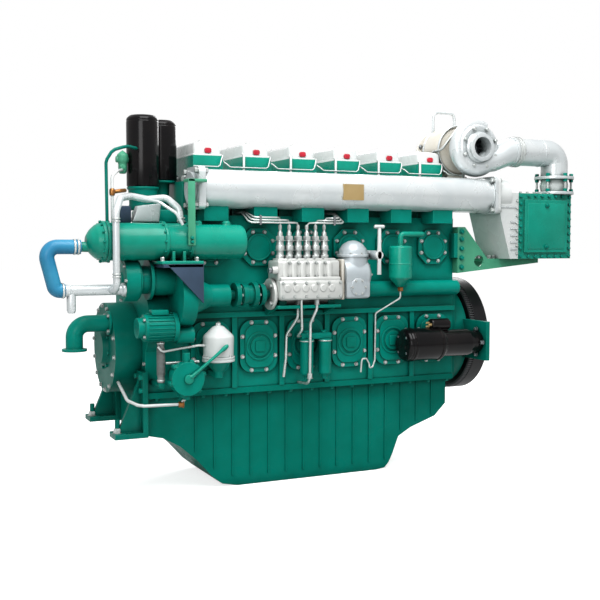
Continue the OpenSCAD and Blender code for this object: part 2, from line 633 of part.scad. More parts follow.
// Pistons with their pins, and the rods that hang from them
piston_gap = 0.35;
skirt_h = 80;
piston_wall = 16;
wrist_d = 76;
wrist_l = 160;
wrist_boss_l = 52;
rod_small_d = 116;
rod_small_w = 50;
rod_big_d = 184;
rod_big_w = 78;
rod_shank_w = 64;
rod_shank_t = 38;
module piston(i) color("lightgray") translate([cyl_x(i), 0, wrist_z(i)]) difference() {
    translate([0, 0, -skirt_h]) rod_z(bore_d - 2 * piston_gap, skirt_h + crown_h);
    translate([0, 0, -skirt_h - over]) rod_z(bore_d - 2 * piston_wall, skirt_h + crown_h - 2 * piston_wall);
}
module wrist_pin(i) color("silver") translate([cyl_x(i) - wrist_l / 2, 0, wrist_z(i)]) rod_x(wrist_d, wrist_l);
module piston_boss(i) color("lightgray") for (s = [-1, 1])
    translate([cyl_x(i) + s * (bore_d / 2 - piston_wall - wrist_boss_l / 2) - wrist_boss_l / 2, 0, wrist_z(i)])
        rod_x(rod_small_d, wrist_boss_l);
module piston_set(i) difference() {
    union() {
        piston(i);
        intersection() {
            piston_boss(i);
            translate([cyl_x(i), 0, wrist_z(i) - skirt_h]) rod_z(bore_d - 2 * piston_gap, skirt_h + crown_h);
        }
        wrist_pin(i);
    }
}
module connecting_rod(i) color("gray") {
    tilt = asin(pin_y(i) / rod_len);
    translate([cyl_x(i), pin_y(i), pin_z(i)]) rotate([tilt, 0, 0]) difference() {
        union() {
            translate([-rod_big_w / 2, 0, 0]) rod_x(rod_big_d, rod_big_w);
            translate([-rod_small_w / 2, 0, rod_len]) rod_x(rod_small_d, rod_small_w);
            translate([-rod_shank_t / 2, -rod_shank_w / 2, 0]) cube([rod_shank_t, rod_shank_w, rod_len]);
        }
        translate([-rod_big_w / 2 - over, 0, 0]) rod_x(pin_d + 2 * run_gap, rod_big_w + 2 * over);
        translate([-rod_small_w / 2 - over, 0, rod_len]) rod_x(wrist_d + 2 * run_gap, rod_small_w + 2 * over);
    }
}
module pistons_1_and_6() { piston_set(0); piston_set(5); }
module pistons_2_and_5() { piston_set(1); piston_set(4); }
module pistons_3_and_4() { piston_set(2); piston_set(3); }
module connecting_rods_1_and_6() { connecting_rod(0); connecting_rod(5); }
module connecting_rods_2_and_5() { connecting_rod(1); connecting_rod(4); }
module connecting_rods_3_and_4() { connecting_rod(2); connecting_rod(3); }

// Camshaft with two cams for each cylinder and its gear
cam_shaft_d = 60;
cam_d = 74;
cam_lift = 9;
cam_t = 26;
intake_cam_turn = 35;
exhaust_cam_turn = 145;
module camshaft() color("silver") translate([0, -cam_out, cam_z]) {
    translate([block_front - over, 0, 0]) rod_x(cam_shaft_d, block_l - block_wall - 4 * over);
    for (k = [0 : cyl_count - 1]) translate([(k == 0 ? block_front : cyl_x(k) - (cyl_pitch + bulkhead_t) / 2), 0, 0])
        rod_x(cam_journal_d, bulkhead_t);
    for (i = [0 : cyl_count - 1], s = [-1, 1])
        translate([cyl_x(i) + s * push_rod_apart - cam_t / 2, 0, 0])
            rotate([crank_angles[i] / 2 + (s < 0 ? intake_cam_turn : exhaust_cam_turn), 0, 0])
                translate([0, 0, cam_lift]) rod_x(cam_d, cam_t);
    translate([cyl_x(cyl_count - 1) + chamber_l / 2, 0, 0])
        rod_x(cam_journal_d, end_margin - chamber_l / 2 - block_wall - 4 * over);
    translate([front_gear_x, 0, 0]) rod_x(cam_shaft_d, block_front - front_gear_x);
    translate([front_gear_x, 0, 0]) gear(cam_teeth, cam_phase, wide_gear_t, 0);
}
module idler_gear() color("silver") translate([rear_gear_x, idler_y, idler_z])
    gear(idler_teeth, idler_phase, gear_t, idler_pin_d + 2 * run_gap);

// Push rods and rockers
rocker_h = 40;
rocker_shaft_d = 30;
rocker_t = 24;
tappet_low = cam_z + cam_d / 2 + cam_lift + run_gap;
tappet_h = 160;
rod_top = head_h - rocker_h;
module push_rods() color("silver") for (i = [0 : cyl_count - 1]) {
    for (s = [-1, 1]) {
        translate([cyl_x(i) + s * push_rod_apart, -cam_out, tappet_low]) {
            rod_z(push_rod_hole_d - 2 * fit_gap, tappet_h, coarse);
            rod_z(push_rod_d, deck_z + rod_top - tappet_low, coarse);
        }
        translate([cyl_x(i) + s * push_rod_apart - rocker_t / 2, -cam_out - rocker_t, deck_z + rod_top])
            cube([rocker_t, cam_out + rocker_t, rocker_t]);
    }
    translate([cyl_x(i) + head_shift - rocker_w / 2 + box_in, -cam_out / 2, deck_z + rod_top + rocker_t / 2])
        rod_x(rocker_shaft_d, rocker_w - 2 * box_in);
}

// Charge-air pipe with its lobed end flanges, and the covers bolted on its ends
pipe_wall = 8;
air_pipe_front = -1687;
air_pipe_rear = -42;
air_flange = 198;
air_flange_t = 16;
air_flange_lobe = 30;
air_port_d = 84;
module lobed_flange(t) profile_x(t) round_rect(air_flange, air_flange, air_flange_lobe);
module charge_air_pipe() {
    color("silver") air_pipe_body();
    // The cover bolted on the front end, a solid of its own
    color([0.55, 0.75, 0.68]) {
        translate([air_pipe_front - air_flange_t, -air_pipe_y, air_pipe_z]) lobed_flange(air_flange_t);
        translate([air_pipe_front - 2 * air_flange_t, -air_pipe_y, air_pipe_z])
            rod_x(air_pipe_d - 2 * air_flange_t, air_flange_t);
    }
}
module air_pipe_body() difference() {
    translate([air_pipe_front, -air_pipe_y, air_pipe_z]) {
        rod_x(air_pipe_d, air_pipe_rear - air_pipe_front);
        lobed_flange(air_flange_t);
        translate([air_pipe_rear - air_pipe_front - air_flange_t, 0, 0]) lobed_flange(air_flange_t);
    }
    translate([air_pipe_front - over, -air_pipe_y, air_pipe_z])
        rod_x(air_pipe_d - 2 * pipe_wall, air_pipe_rear - air_pipe_front + 2 * over);
    for (i = [0 : cyl_count - 1]) translate([cyl_x(i), -air_pipe_y, air_pipe_z - air_pipe_d / 2 - over])
        rod_z(air_port_d, air_pipe_d / 2);
}

// Intake branch under the pipe for each cylinder
branch_l = 120;
branch_in_d = 50;
branch_low = -30;
branch_side_gap = 3;
branch_depth = 80;
branch_flange_l = 124;
branch_flange_t = 14;
module intake_branches() color([0.02, 0.45, 0.36]) for (i = [0 : cyl_count - 1]) translate([cyl_x(i), 0, 0]) difference() {
    union() {
        box([-branch_l / 2, -air_pipe_y - branch_depth / 2, deck_z + branch_low],
            [branch_l / 2, -block_half_w - branch_side_gap, air_pipe_z]);
        box([-branch_l / 2, -block_half_w - branch_side_gap, deck_z + over],
            [branch_l / 2, -head_depth / 2, deck_z + head_base_h - over]);
        box([-branch_flange_l / 2, -head_depth / 2 - branch_flange_t, deck_z + over],
            [branch_flange_l / 2, -head_depth / 2, deck_z + head_base_h - over]);
    }
    translate([-branch_l, -air_pipe_y, air_pipe_z]) rod_x(air_pipe_d, 2 * branch_l);
    translate([0, -air_pipe_y, deck_z + port_z]) rod_z(branch_in_d, air_pipe_d / 2);
    translate([0, -air_pipe_y, deck_z + port_z]) rod_y(branch_in_d, air_pipe_y);
    translate([0, -air_pipe_y, deck_z + port_z]) sphere(d = branch_in_d, $fn = fine);
}

// Bare plate on the pipe
plate_x = -960;
plate_l = 112;
plate_h = 78;
plate_t = 4;
module blank_plate() color("tan") translate([plate_x, -air_pipe_y - air_pipe_d / 2 - plate_t, air_pipe_z - plate_h / 2 - plate_t])
    difference() {
        cube([plate_l, 3 * plate_t, plate_h]);
        translate([-over, air_pipe_d / 2 + plate_t, plate_h / 2 + plate_t]) rod_x(air_pipe_d, plate_l + 2 * over, 128);
    }

// Turbocharger on an axis across the engine: compressor in front, turbine behind
turbo_x = -125;
volute_y = -352;
volute_ring_d = 102;
inlet_d = 104;
inlet_front = -424;
inlet_rim_d = 150;
wheel_d = 128;
outlet_x = 118;
outlet_drop = 10;
compressor_back = -292;
compressor_plate_t = 16;
compressor_plate_d = 250;
module compressor_housing() color([0.85, 0.86, 0.84]) difference() {
    union() {
        translate([turbo_x, volute_y, turbo_z]) rotate([-90, 0, 0])
            rotate_extrude($fn = fine) translate([(volute_d - volute_ring_d) / 2, 0]) circle(d = volute_ring_d, $fn = coarse);
        translate([turbo_x, volute_y - volute_ring_d / 4, turbo_z]) rod_y(volute_d - volute_ring_d, compressor_back - volute_y + volute_ring_d / 4);
        translate([turbo_x, inlet_front, turbo_z]) rod_y(inlet_rim_d, volute_y - inlet_front);
        translate([turbo_x, compressor_back - compressor_plate_t, turbo_z]) rod_y(compressor_plate_d, compressor_plate_t);
        translate([turbo_x + volute_d / 4, volute_y, turbo_z - outlet_drop]) rod_x(elbow_d, outlet_x - turbo_x - volute_d / 4);
    }
    translate([turbo_x, inlet_front - over, turbo_z]) rod_y(inlet_d, compressor_back - inlet_front - compressor_plate_t);
    translate([turbo_x, volute_y, turbo_z]) rod_y(wheel_d + 2 * over, compressor_back - volute_y - compressor_plate_t);
    translate([turbo_x, compressor_back - compressor_plate_t - over, turbo_z]) rod_y(rotor_shaft_d + 2 * run_gap, compressor_plate_t + 2 * over);
    translate([turbo_x + wheel_d / 2, volute_y, turbo_z - outlet_drop]) rod_x(elbow_d - 2 * pipe_wall, outlet_x - turbo_x);
}
turbine_y = -128;
turbine_d = 270;
turbine_front = -200;
turbine_back = -40;
core_d = 150;
rotor_shaft_d = 24;
turbine_wheel_d = 124;
outlet_flange_d = 230;
outlet_pipe_d = 160;
outlet_y = 60;
turbine_foot_l = 150;
turbine_foot_w = 110;
module turbine_housing() color([0.92, 0.9, 0.84]) difference() {
    union() {
        translate([turbo_x, compressor_back, turbo_z]) rod_y(core_d, turbine_front - compressor_back);
        translate([turbo_x, turbine_front, turbo_z]) rod_y(turbine_d, turbine_back - turbine_front);
        translate([turbo_x, turbine_back, turbo_z]) rod_y(outlet_pipe_d, outlet_y - turbine_back);
        translate([turbo_x, outlet_y - compressor_plate_t, turbo_z]) rod_y(outlet_flange_d, compressor_plate_t);
        box([turbo_x - turbine_foot_l / 2, turbine_y - turbine_foot_w / 2, manifold_riser_z],
            [turbo_x + turbine_foot_l / 2, turbine_y + turbine_foot_w / 2, turbo_z]);
    }
    translate([turbo_x, compressor_back - over, turbo_z]) rod_y(rotor_shaft_d + 2 * run_gap, outlet_y - compressor_back);
    translate([turbo_x, turbine_y - turbine_wheel_d / 4, turbo_z]) rod_y(turbine_wheel_d + 2 * over, outlet_y - turbine_y);
    translate([turbo_x, turbine_back, turbo_z]) rod_y(outlet_pipe_d - 2 * pipe_wall, outlet_y - turbine_back + over);
    translate([turbo_x, turbine_y, manifold_riser_z - over]) rod_z(turbine_foot_w - 2 * pipe_wall, turbo_z - manifold_riser_z);
}
wheel_hub_d = 36;
wheel_t = 34;
blade_count = 9;
blade_t = 4;
wheel_in = 7;
module bladed_wheel(d) {
    rod_y(wheel_hub_d, wheel_t);
    translate([0, wheel_t - blade_t, 0]) rod_y(d, blade_t);
    rotate([-90, 0, 0]) for (k = [0 : blade_count - 1]) rotate([0, 0, k * 360 / blade_count])
        translate([wheel_hub_d / 3, -blade_t / 2, blade_t / 2])
            cube([d / 2 - blade_t - wheel_hub_d / 3, blade_t, wheel_t - blade_t]);
}
module turbo_rotor() color("silver") translate([turbo_x, 0, turbo_z]) {
    translate([0, volute_y + wheel_t / 2, 0]) rod_y(rotor_shaft_d, turbine_y - volute_y - wheel_t / 2);
    translate([0, volute_y + wheel_in, 0]) bladed_wheel(wheel_d);
    translate([0, turbine_y + wheel_t / 2, 0]) scale([1, -1, 1]) bladed_wheel(turbine_wheel_d);
    translate([0, volute_y + run_gap, 0]) rotate([-90, 0, 0]) cylinder(d = wheel_hub_d * 0.7, h = 2 * wheel_in, $fn = 6);
}

// Exhaust manifold on the far side, crossing behind the last head up to the turbine
manifold_d = 170;
manifold_y = 372;
manifold_z = 762;
manifold_front = -1690;
manifold_rear = -125;
manifold_riser_z = 842;
stub_d = 100;
stub_flange = 140;
cross_d = 120;
module exhaust_manifold() color([0.75, 0.74, 0.7]) difference() {
    union() {
        translate([manifold_front, manifold_y, manifold_z]) rod_x(manifold_d, manifold_rear - manifold_front);
        translate([manifold_rear, manifold_y, manifold_z]) sphere(d = manifold_d, $fn = fine);
        for (i = [0 : cyl_count - 1]) {
            translate([cyl_x(i), head_depth / 2, manifold_z - manifold_d / 4]) rod_y(stub_d, manifold_y - head_depth / 2);
            box([cyl_x(i) - stub_flange / 2, head_depth / 2, deck_z + over],
                [cyl_x(i) + stub_flange / 2, head_depth / 2 + branch_flange_t, deck_z + head_base_h - over]);
        }
        translate([turbo_x, turbine_y, manifold_z]) rod_y(cross_d, manifold_y - turbine_y);
        translate([turbo_x, turbine_y, manifold_z]) sphere(d = cross_d, $fn = fine);
        translate([turbo_x, turbine_y, manifold_z]) rod_z(cross_d, manifold_riser_z - manifold_z);
        box([turbo_x - turbine_foot_l / 2, turbine_y - turbine_foot_w / 2 - over, manifold_riser_z - branch_flange_t],
            [turbo_x + turbine_foot_l / 2, turbine_y + turbine_foot_w / 2 + over, manifold_riser_z]);
    }
    translate([turbo_x, turbine_y, manifold_z]) rod_z(cross_d - 2 * pipe_wall, manifold_riser_z - manifold_z + over);
}

// Bent tube frame over the turbine
frame_tube_d = 16;
frame_y = -60;
frame_left = -201;
frame_right = -62;
frame_rise = 221;
frame_top = turbo_z + frame_rise;
frame_bend = 30;
module turbine_frame() color("silver") difference() {
    pipe([[frame_left, frame_y, turbo_z + frame_bend], [frame_left, frame_y, frame_top],
        [frame_right, frame_y, frame_top], [frame_right, frame_y, turbo_z + frame_bend]], frame_tube_d, frame_bend);
    translate([turbo_x, frame_y - turbine_d / 2, turbo_z]) rod_y(turbine_d + 2 * fit_gap, turbine_d);
}

// Air elbow from the compressor down into the cooler, with its two flanges
leg_x = 405;
leg_bend = 110;
cooler_top = 776;
cooler_low = cooler_top - cooler_h;
elbow_flange_d = 214;
elbow_flange_t = 16;
coupling_l = 34;
elbow_z = turbo_z - outlet_drop;
collar_low = cooler_top + 84;
module air_elbow() color("silver") difference() {
    union() {
        translate([outlet_x + fit_gap, volute_y, elbow_z]) rod_x(elbow_d, leg_x - leg_bend - outlet_x - fit_gap);
        translate([outlet_x + fit_gap, volute_y, elbow_z]) rod_x(elbow_d + 2 * pipe_wall, coupling_l);
        translate([leg_x - leg_bend, volute_y, elbow_z - leg_bend]) rotate([90, 0, 0])
            rotate_extrude(angle = 90, $fn = fine) translate([leg_bend, 0]) circle(d = elbow_d, $fn = fine);
        translate([leg_x, volute_y, cooler_top]) rod_z(elbow_d, elbow_z - leg_bend - cooler_top);
        translate([leg_x, volute_y, cooler_top]) rod_z(elbow_flange_d, elbow_flange_t);
        translate([leg_x, volute_y, collar_low]) rod_z(elbow_flange_d, elbow_flange_t);
    }
    translate([outlet_x - over, volute_y, elbow_z]) rod_x(elbow_d - 2 * pipe_wall, leg_x - leg_bend - outlet_x + over);
    translate([leg_x - leg_bend, volute_y, elbow_z - leg_bend]) rotate([90, 0, 0])
        rotate_extrude(angle = 90, $fn = fine) translate([leg_bend, 0]) circle(d = elbow_d - 2 * pipe_wall, $fn = fine);
    translate([leg_x, volute_y, cooler_top - over]) rod_z(elbow_d - 2 * pipe_wall, elbow_z - leg_bend - cooler_top + over);
}

// Air cooler box with framed panel, its hood and the bracket plates under it
cooler_left = 106;
cooler_front = -428;
cooler_back = -150;
panel_frame = 34;
panel_t = 12;
header_l = 50;
plenum_h = 90;
cooler_lip = 10;
module air_cooler() color([0.02, 0.62, 0.48]) difference() {
    union() {
        box([cooler_left, cooler_front, cooler_low], [cooler_left + cooler_l, cooler_back, cooler_top]);
        box([cooler_left + panel_frame, cooler_front - panel_t, cooler_low + panel_frame],
            [cooler_left + cooler_l - panel_frame, cooler_front, cooler_top - panel_frame]);
    }
    box([cooler_left - over, cooler_front + pipe_wall, cooler_low + pipe_wall],
        [cooler_left + header_l, cooler_back - pipe_wall, cooler_top - pipe_wall]);
    box([cooler_left, cooler_front + pipe_wall, cooler_top - plenum_h],
        [cooler_left + cooler_l - pipe_wall, cooler_back - pipe_wall, cooler_top - pipe_wall]);
    translate([leg_x, volute_y, cooler_top - pipe_wall - over]) rod_z(elbow_d - 2 * pipe_wall, pipe_wall + 2 * over);
}
hood_top_l = 128;
hood_low_l = 52;
hood_neck_z = 690;
hood_neck_l = air_pipe_rear + fit_gap;
module air_cooler_hood() color("silver") difference() {
    union() {
        translate([0, cooler_front, 0]) profile_y(cooler_back - cooler_front) polygon([[cooler_left, cooler_top],
            [cooler_left - hood_top_l, cooler_top], [cooler_left - hood_top_l, hood_neck_z],
            [cooler_left - hood_low_l, cooler_low], [cooler_left, cooler_low]]);
        translate([hood_neck_l, -air_pipe_y, air_pipe_z]) rod_x(air_pipe_d - 2 * over, cooler_left - hood_neck_l - hood_low_l);
        translate([hood_neck_l, -air_pipe_y, air_pipe_z]) lobed_flange(air_flange_t);
    }
    translate([0, cooler_front + pipe_wall, 0]) profile_y(cooler_back - cooler_front - 2 * pipe_wall)
        polygon([[cooler_left + over, cooler_top - pipe_wall], [cooler_left - hood_top_l + pipe_wall, cooler_top - pipe_wall],
            [cooler_left - hood_top_l + pipe_wall, hood_neck_z], [cooler_left - hood_low_l + pipe_wall, cooler_low + pipe_wall],
            [cooler_left + over, cooler_low + pipe_wall]]);
    translate([hood_neck_l - over, -air_pipe_y, air_pipe_z])
        rod_x(air_pipe_d - 3 * pipe_wall, cooler_left - hood_neck_l - hood_low_l);
}
bracket_t = 16;
bracket_y = 328;
bracket_low = 348;
bracket_low_tip = 400;
bracket_high = 594;
bracket_top_l = 46;
bracket_step = -20;
bracket_reach = 322;
bracket_hole_x = -75;
bracket_hole_z = 412;
bracket_hole_d = 62;
bracket_gap = 176;
module bracket_plate() profile_y(bracket_t) difference() {
    polygon([[block_rear, bracket_low], [bracket_reach, bracket_low_tip], [bracket_reach, cooler_low],
        [bracket_step, cooler_low], [block_rear + bracket_top_l, bracket_high], [block_rear, bracket_high]]);
    translate([bracket_hole_x, bracket_hole_z]) circle(d = bracket_hole_d, $fn = fine);
}
module cooler_bracket() color([0.37, 0.78, 0.63]) {
    for (k = [0, 1]) translate([0, -bracket_y + k * bracket_gap, 0]) bracket_plate();
    box([block_rear, -bracket_y + bracket_t, bracket_low],
        [block_rear + bracket_t, -bracket_y + bracket_gap, bracket_high]);
    box([bracket_step + bracket_t, -bracket_y + bracket_t, cooler_low - bracket_t],
        [bracket_reach, -bracket_y + bracket_gap, cooler_low]);
}

// Injection pump on its shelf, with six delivery valves
pump_x = -1322;
pump_front = -492;
pump_back = -330;
pump_low = 232;
pump_mid = 330;
pump_top = 428;
pump_gallery_in = 26;
valve_first = 40;
valve_pitch = 47;
valve_d1 = 40;
valve_d2 = 26;
valve_h1 = 94;
valve_h2 = 160;
valve_y = -404;
shelf_t = 18;
shelf_low = 212;
shelf_front = -470;
pump_flange_d = 150;
pump_flange_t = 18;
drive_shaft_d = 44;
rack_bore_d = 22;
rack_z = 378;
rack_y = -446;
module injection_pump() {
    color("gainsboro") difference() {
        union() {
            box([pump_x, pump_front, pump_low], [pump_x + fuel_pump_l, pump_back, pump_mid]);
            box([pump_x, pump_front + pump_gallery_in, pump_mid],
                [pump_x + fuel_pump_l, pump_back, pump_top]);
            translate([pump_x - pump_flange_t, -drive_y, drive_z]) rod_x(pump_flange_d, pump_flange_t);
            for (k = [0 : cyl_count - 1]) translate([pump_x + valve_first + k * valve_pitch, valve_y, pump_top]) {
                rod_z(valve_d1, valve_h1, coarse);
                rod_z(valve_d2, valve_h2, coarse);
            }
        }
        translate([pump_x - pump_flange_t - over, -drive_y, drive_z])
            rod_x(drive_shaft_d + 2 * fit_gap, fuel_pump_l / 2);
        translate([pump_x - over, rack_y, rack_z]) rod_x(rack_bore_d, fuel_pump_l + 2 * over, coarse);
    }
    color([0.04, 0.6, 0.47]) box([pump_x, shelf_front, shelf_low - shelf_t],
        [pump_x + fuel_pump_l, -block_half_w, pump_low]);
}

// Governor at the end of the pump, with its dome
governor_flange_l = 18;
governor_l = 148;
governor_d = 166;
governor_z = 352;
governor_low = 236;
governor_dome_d = 150;
governor_dome_z = 446;
governor_top = 520;
governor_x = pump_x + fuel_pump_l;
governor_y = -410;
lever_shaft_d = 22;
lever_stand = 190;
lever_x = governor_x + lever_stand;
lever_z = 448;
lever_boss_d = 46;
lever_boss_l = 118;
lever_boss_front = governor_y - governor_d / 2 - 5;
module governor() {
    color("bisque") difference() {
        box([governor_x, pump_front + pump_gallery_in, pump_low], [governor_x + governor_flange_l, pump_back, pump_top]);
        translate([governor_x - over, rack_y, rack_z]) rod_x(rack_bore_d, governor_l / 2, coarse);
    }
    color("lightsteelblue") difference() {
        union() {
            translate([governor_x + governor_flange_l, governor_y, governor_z]) rod_x(governor_d, governor_l);
            translate([governor_x + governor_flange_l, governor_y - governor_d / 2, governor_low])
                cube([governor_l, governor_d, governor_z - governor_low]);
            translate([governor_x + governor_flange_l + governor_dome_d / 2, governor_y, governor_z]) rod_z(governor_dome_d, governor_dome_z - governor_z);
            translate([governor_x + governor_flange_l + governor_dome_d / 2, governor_y, governor_dome_z])
                sphere(d = governor_dome_d, $fn = fine);
            translate([lever_x, lever_boss_front, lever_z]) rod_y(lever_boss_d, lever_boss_l, coarse);
            translate([governor_x + governor_l, governor_y - lever_boss_d / 2, lever_z - lever_boss_d / 2])
                cube([lever_x - governor_x - governor_l, lever_boss_d, lever_boss_d]);
        }
        translate([lever_x, lever_boss_front - over, lever_z])
            rod_y(lever_shaft_d + 2 * run_gap, lever_boss_l + 2 * over, coarse);
        translate([governor_x - over, rack_y, rack_z]) rod_x(rack_bore_d, governor_l / 2, coarse);
    }
}

// Control lever with its cross handle, on a shaft through the governor's boss
lever_arm_up = 140;
lever_arm_down = 96;
lever_arm_w = 16;
lever_arm_t = 12;
handle_l = 56;
lever_collar_t = 6;
module control_lever() color("white") translate([lever_x, 0, lever_z]) {
    translate([0, lever_boss_front - lever_arm_t - run_gap, 0])
        rod_y(lever_shaft_d, lever_boss_l + lever_arm_t + lever_collar_t + 2 * run_gap, coarse);
    translate([0, lever_boss_front - run_gap - lever_arm_t, 0]) {
        translate([-lever_arm_w / 2, 0, -lever_arm_down]) cube([lever_arm_w, lever_arm_t, lever_arm_up + lever_arm_down]);
        translate([-handle_l / 2, lever_arm_t / 2, lever_arm_up]) rod_x(lever_arm_w, handle_l, coarse);
        rod_y(lever_boss_d, lever_arm_t, coarse);
    }
    translate([0, lever_boss_front + lever_boss_l + run_gap, 0]) rod_y(lever_boss_d, lever_collar_t, coarse);
}

// Fuel rack with its cap end outside the pump
rack_d = rack_bore_d - 2 * run_gap;
rack_cap_d = 27;
rack_out = 40;
rack_in = 60;
module fuel_rack() color("silver") translate([pump_x - rack_out, rack_y, rack_z]) {
    rod_x(rack_d, rack_out + fuel_pump_l + rack_in, coarse);
    rod_x(rack_cap_d, rack_out / 4, coarse);
}

// Pump drive shaft from the gear case, with its two couplings
coupling_d = 118;
coupling_t = 22;
coupling_gap = 34;
coupling_pitch = 90;
mid_shaft_l = 60;
drive_grip = 40;
drive_end = pump_x + drive_grip;
coupling_stand = 30;
first_coupling = block_front + bell_l + shaft_tube_l + coupling_stand;
module pump_drive_shaft() color([0.3, 0.62, 0.55]) translate([0, -drive_y, drive_z]) {
    translate([rear_gear_x, 0, 0]) rod_x(drive_shaft_d, drive_end - rear_gear_x);
    translate([rear_gear_x, 0, 0]) gear(cam_teeth, drive_phase, gear_t, 0);
    for (k = [0, 1], s = [0, 1]) translate([first_coupling + k * coupling_pitch, 0, 0])
        translate([s * (coupling_t + coupling_gap / 2), 0, 0]) rod_x(coupling_d - s * coupling_gap / 2, coupling_t);
    translate([first_coupling + coupling_gap, 0, 0]) rod_x(2 * drive_shaft_d, mid_shaft_l);
}

// Injection pipes from the delivery valves up under the air pipe
inj_pipe_d = 9;
inj_bend = 11;
inj_run_z = 628;
inj_step = 12;
inj_left_x = -1455;
inj_right_x = -955;
inj_up_z = 655;
inj_y = -440;
function valve_x(k) = pump_x + valve_first + k * valve_pitch;
function valve_tip_z() = pump_top + valve_h2;
module injection_pipes() color("silver") for (k = [0 : cyl_count - 1]) {
    left = k < 3;
    end_x = left ? inj_left_x + (2 - k) * inj_step : inj_right_x - (k - 3) * inj_step;
    level = inj_run_z - (left ? k : 5 - k) * inj_step;
    pipe([[valve_x(k), valve_y, valve_tip_z()], [valve_x(k), valve_y, level],
        [valve_x(k) + (left ? inj_y - valve_y : valve_y - inj_y), inj_y, level], [end_x, inj_y, level],
        [end_x, -air_pipe_y + inj_bend, inj_up_z], [end_x, -head_depth / 2 - fit_gap, inj_up_z]],
        inj_pipe_d, inj_bend, 6, 2);
}

// Breather cup, its neck and its drain pipe; lubricating pipes of the pumps
cup_x = -610;
cup_y = -400;
cup_d = 118;
cup_low = 330;
cup_high = 493;
cup_tip_z = 284;
neck_d = 28;
neck_top = 567;
neck_reach = 149;
nut_d = 30;
nut_h = 22;
drain_z = 252;
drain_loop_z = -92;
pipe_small_d = 12;
loop_r = 26;
drain_x = -725;
drain_y = -block_half_w - door_t - 2 * door_boss_h - 2 * pipe_small_d;
loop_step = 30;
module oil_pipes() {
    color([0.04, 0.6, 0.47]) {
        translate([cup_x, cup_y, cup_low]) rod_z(cup_d, cup_high - cup_low);
        translate([cup_x, cup_y, cup_tip_z]) cylinder(d1 = nut_d, d2 = cup_d - neck_d, h = cup_low - cup_tip_z, $fn = fine);
        translate([cup_x, cup_y, cup_high]) rod_z(neck_d, neck_top - cup_high, coarse);
        translate([cup_x, cup_y, neck_top - neck_d / 2]) rod_x(neck_d, neck_reach, coarse);
        translate([cup_x + neck_reach - neck_d / 2, cup_y, neck_top - neck_d / 2]) rod_y(neck_d, -cup_y - block_half_w - fit_gap, coarse);
    }
    color("peru") translate([cup_x, cup_y, cup_tip_z - nut_h]) cylinder(d = nut_d, h = nut_h, $fn = 6);
    color("gray") pipe([[cup_x, cup_y, cup_tip_z - nut_h - fit_gap], [cup_x, cup_y, drain_z - nut_h],
        [drain_x, drain_y, ledge_z - nut_h], [drain_x, drain_y, drain_loop_z],
        [drain_x - loop_step, drain_y, drain_loop_z - loop_step], [drain_x - 2 * loop_step, drain_y, drain_loop_z + loop_step],
        [drain_x - 3 * loop_step, drain_y, drain_loop_z - 2 * loop_step]], pipe_small_d, loop_r / 2, 6, 3);
    // Union block that holds the lower end of the ribbed suction hose, on the gear case's side
    color([0, 0.46, 0.36]) {
        translate([ribbed_x, prelube_y - nut_d / 2, ribbed_low - nut_d / 2 - fit_gap])
            rod_y(nut_d, -case_half_w - fit_gap - prelube_y + nut_d / 2, coarse);
        translate([ribbed_x, prelube_y, ribbed_low - nut_d / 2 - fit_gap]) rod_z(nut_d, nut_d / 2, coarse);
    }
}

// Fuel filters on the crankcase
fuel_filter_d = 66;
fuel_filter_low = -142;
fuel_filter_high = 36;
fuel_filter_x = [-1128, -1030];
fuel_filter_y = -378;
filter_head_h = 30;
module fuel_filters() color([0.04, 0.6, 0.47]) {
    for (x = fuel_filter_x) translate([x, fuel_filter_y, fuel_filter_low]) {
        rod_z(fuel_filter_d, fuel_filter_high - fuel_filter_low);
        translate([0, 0, -nut_h]) rod_z(nut_d, nut_h, coarse);
    }
    box([fuel_filter_x[0] - fuel_filter_d / 2, fuel_filter_y - fuel_filter_d / 4, fuel_filter_high],
        [fuel_filter_x[1] + fuel_filter_d / 2, -block_half_w - door_t - 2 * door_boss_h, fuel_filter_high + filter_head_h]);
}

// Centrifugal oil filter: pale bell on a green foot
centrifuge_x = -1597;
centrifuge_y = -400;
centrifuge_d = 150;
bell_low = -22;
bell_shoulder = 74;
bell_top = 122;
centrifuge_foot_z = door_z - door_h / 2 + fit_gap;
bell_nut_d = 24;
module oil_centrifuge() {
    color("white") translate([centrifuge_x, centrifuge_y, 0]) {
        translate([0, 0, bell_low]) rod_z(centrifuge_d - 4 * over, bell_shoulder - bell_low);
        translate([0, 0, bell_shoulder]) cylinder(d1 = centrifuge_d - 4 * over, d2 = bell_nut_d * 2, h = bell_top - bell_shoulder, $fn = fine);
        translate([0, 0, bell_top]) cylinder(d = bell_nut_d, h = bell_nut_d / 2, $fn = 6);
        translate([0, 0, bell_low - bell_nut_d]) rod_z(centrifuge_d + 4 * over, bell_nut_d);
    }
    color([0.04, 0.6, 0.47]) {
        translate([centrifuge_x, centrifuge_y, bell_low - 3 * bell_nut_d]) cylinder(d1 = 2 * bell_nut_d, d2 = centrifuge_d - bell_nut_d, h = 2 * bell_nut_d, $fn = fine);
        translate([centrifuge_x, centrifuge_y, centrifuge_foot_z]) rod_z(2 * bell_nut_d, bell_low - 3 * bell_nut_d - centrifuge_foot_z);
        box([centrifuge_x - bell_nut_d, centrifuge_y, centrifuge_foot_z],
            [centrifuge_x + bell_nut_d, -block_half_w - door_t, centrifuge_foot_z + door_frame - fit_gap]);
    }
}

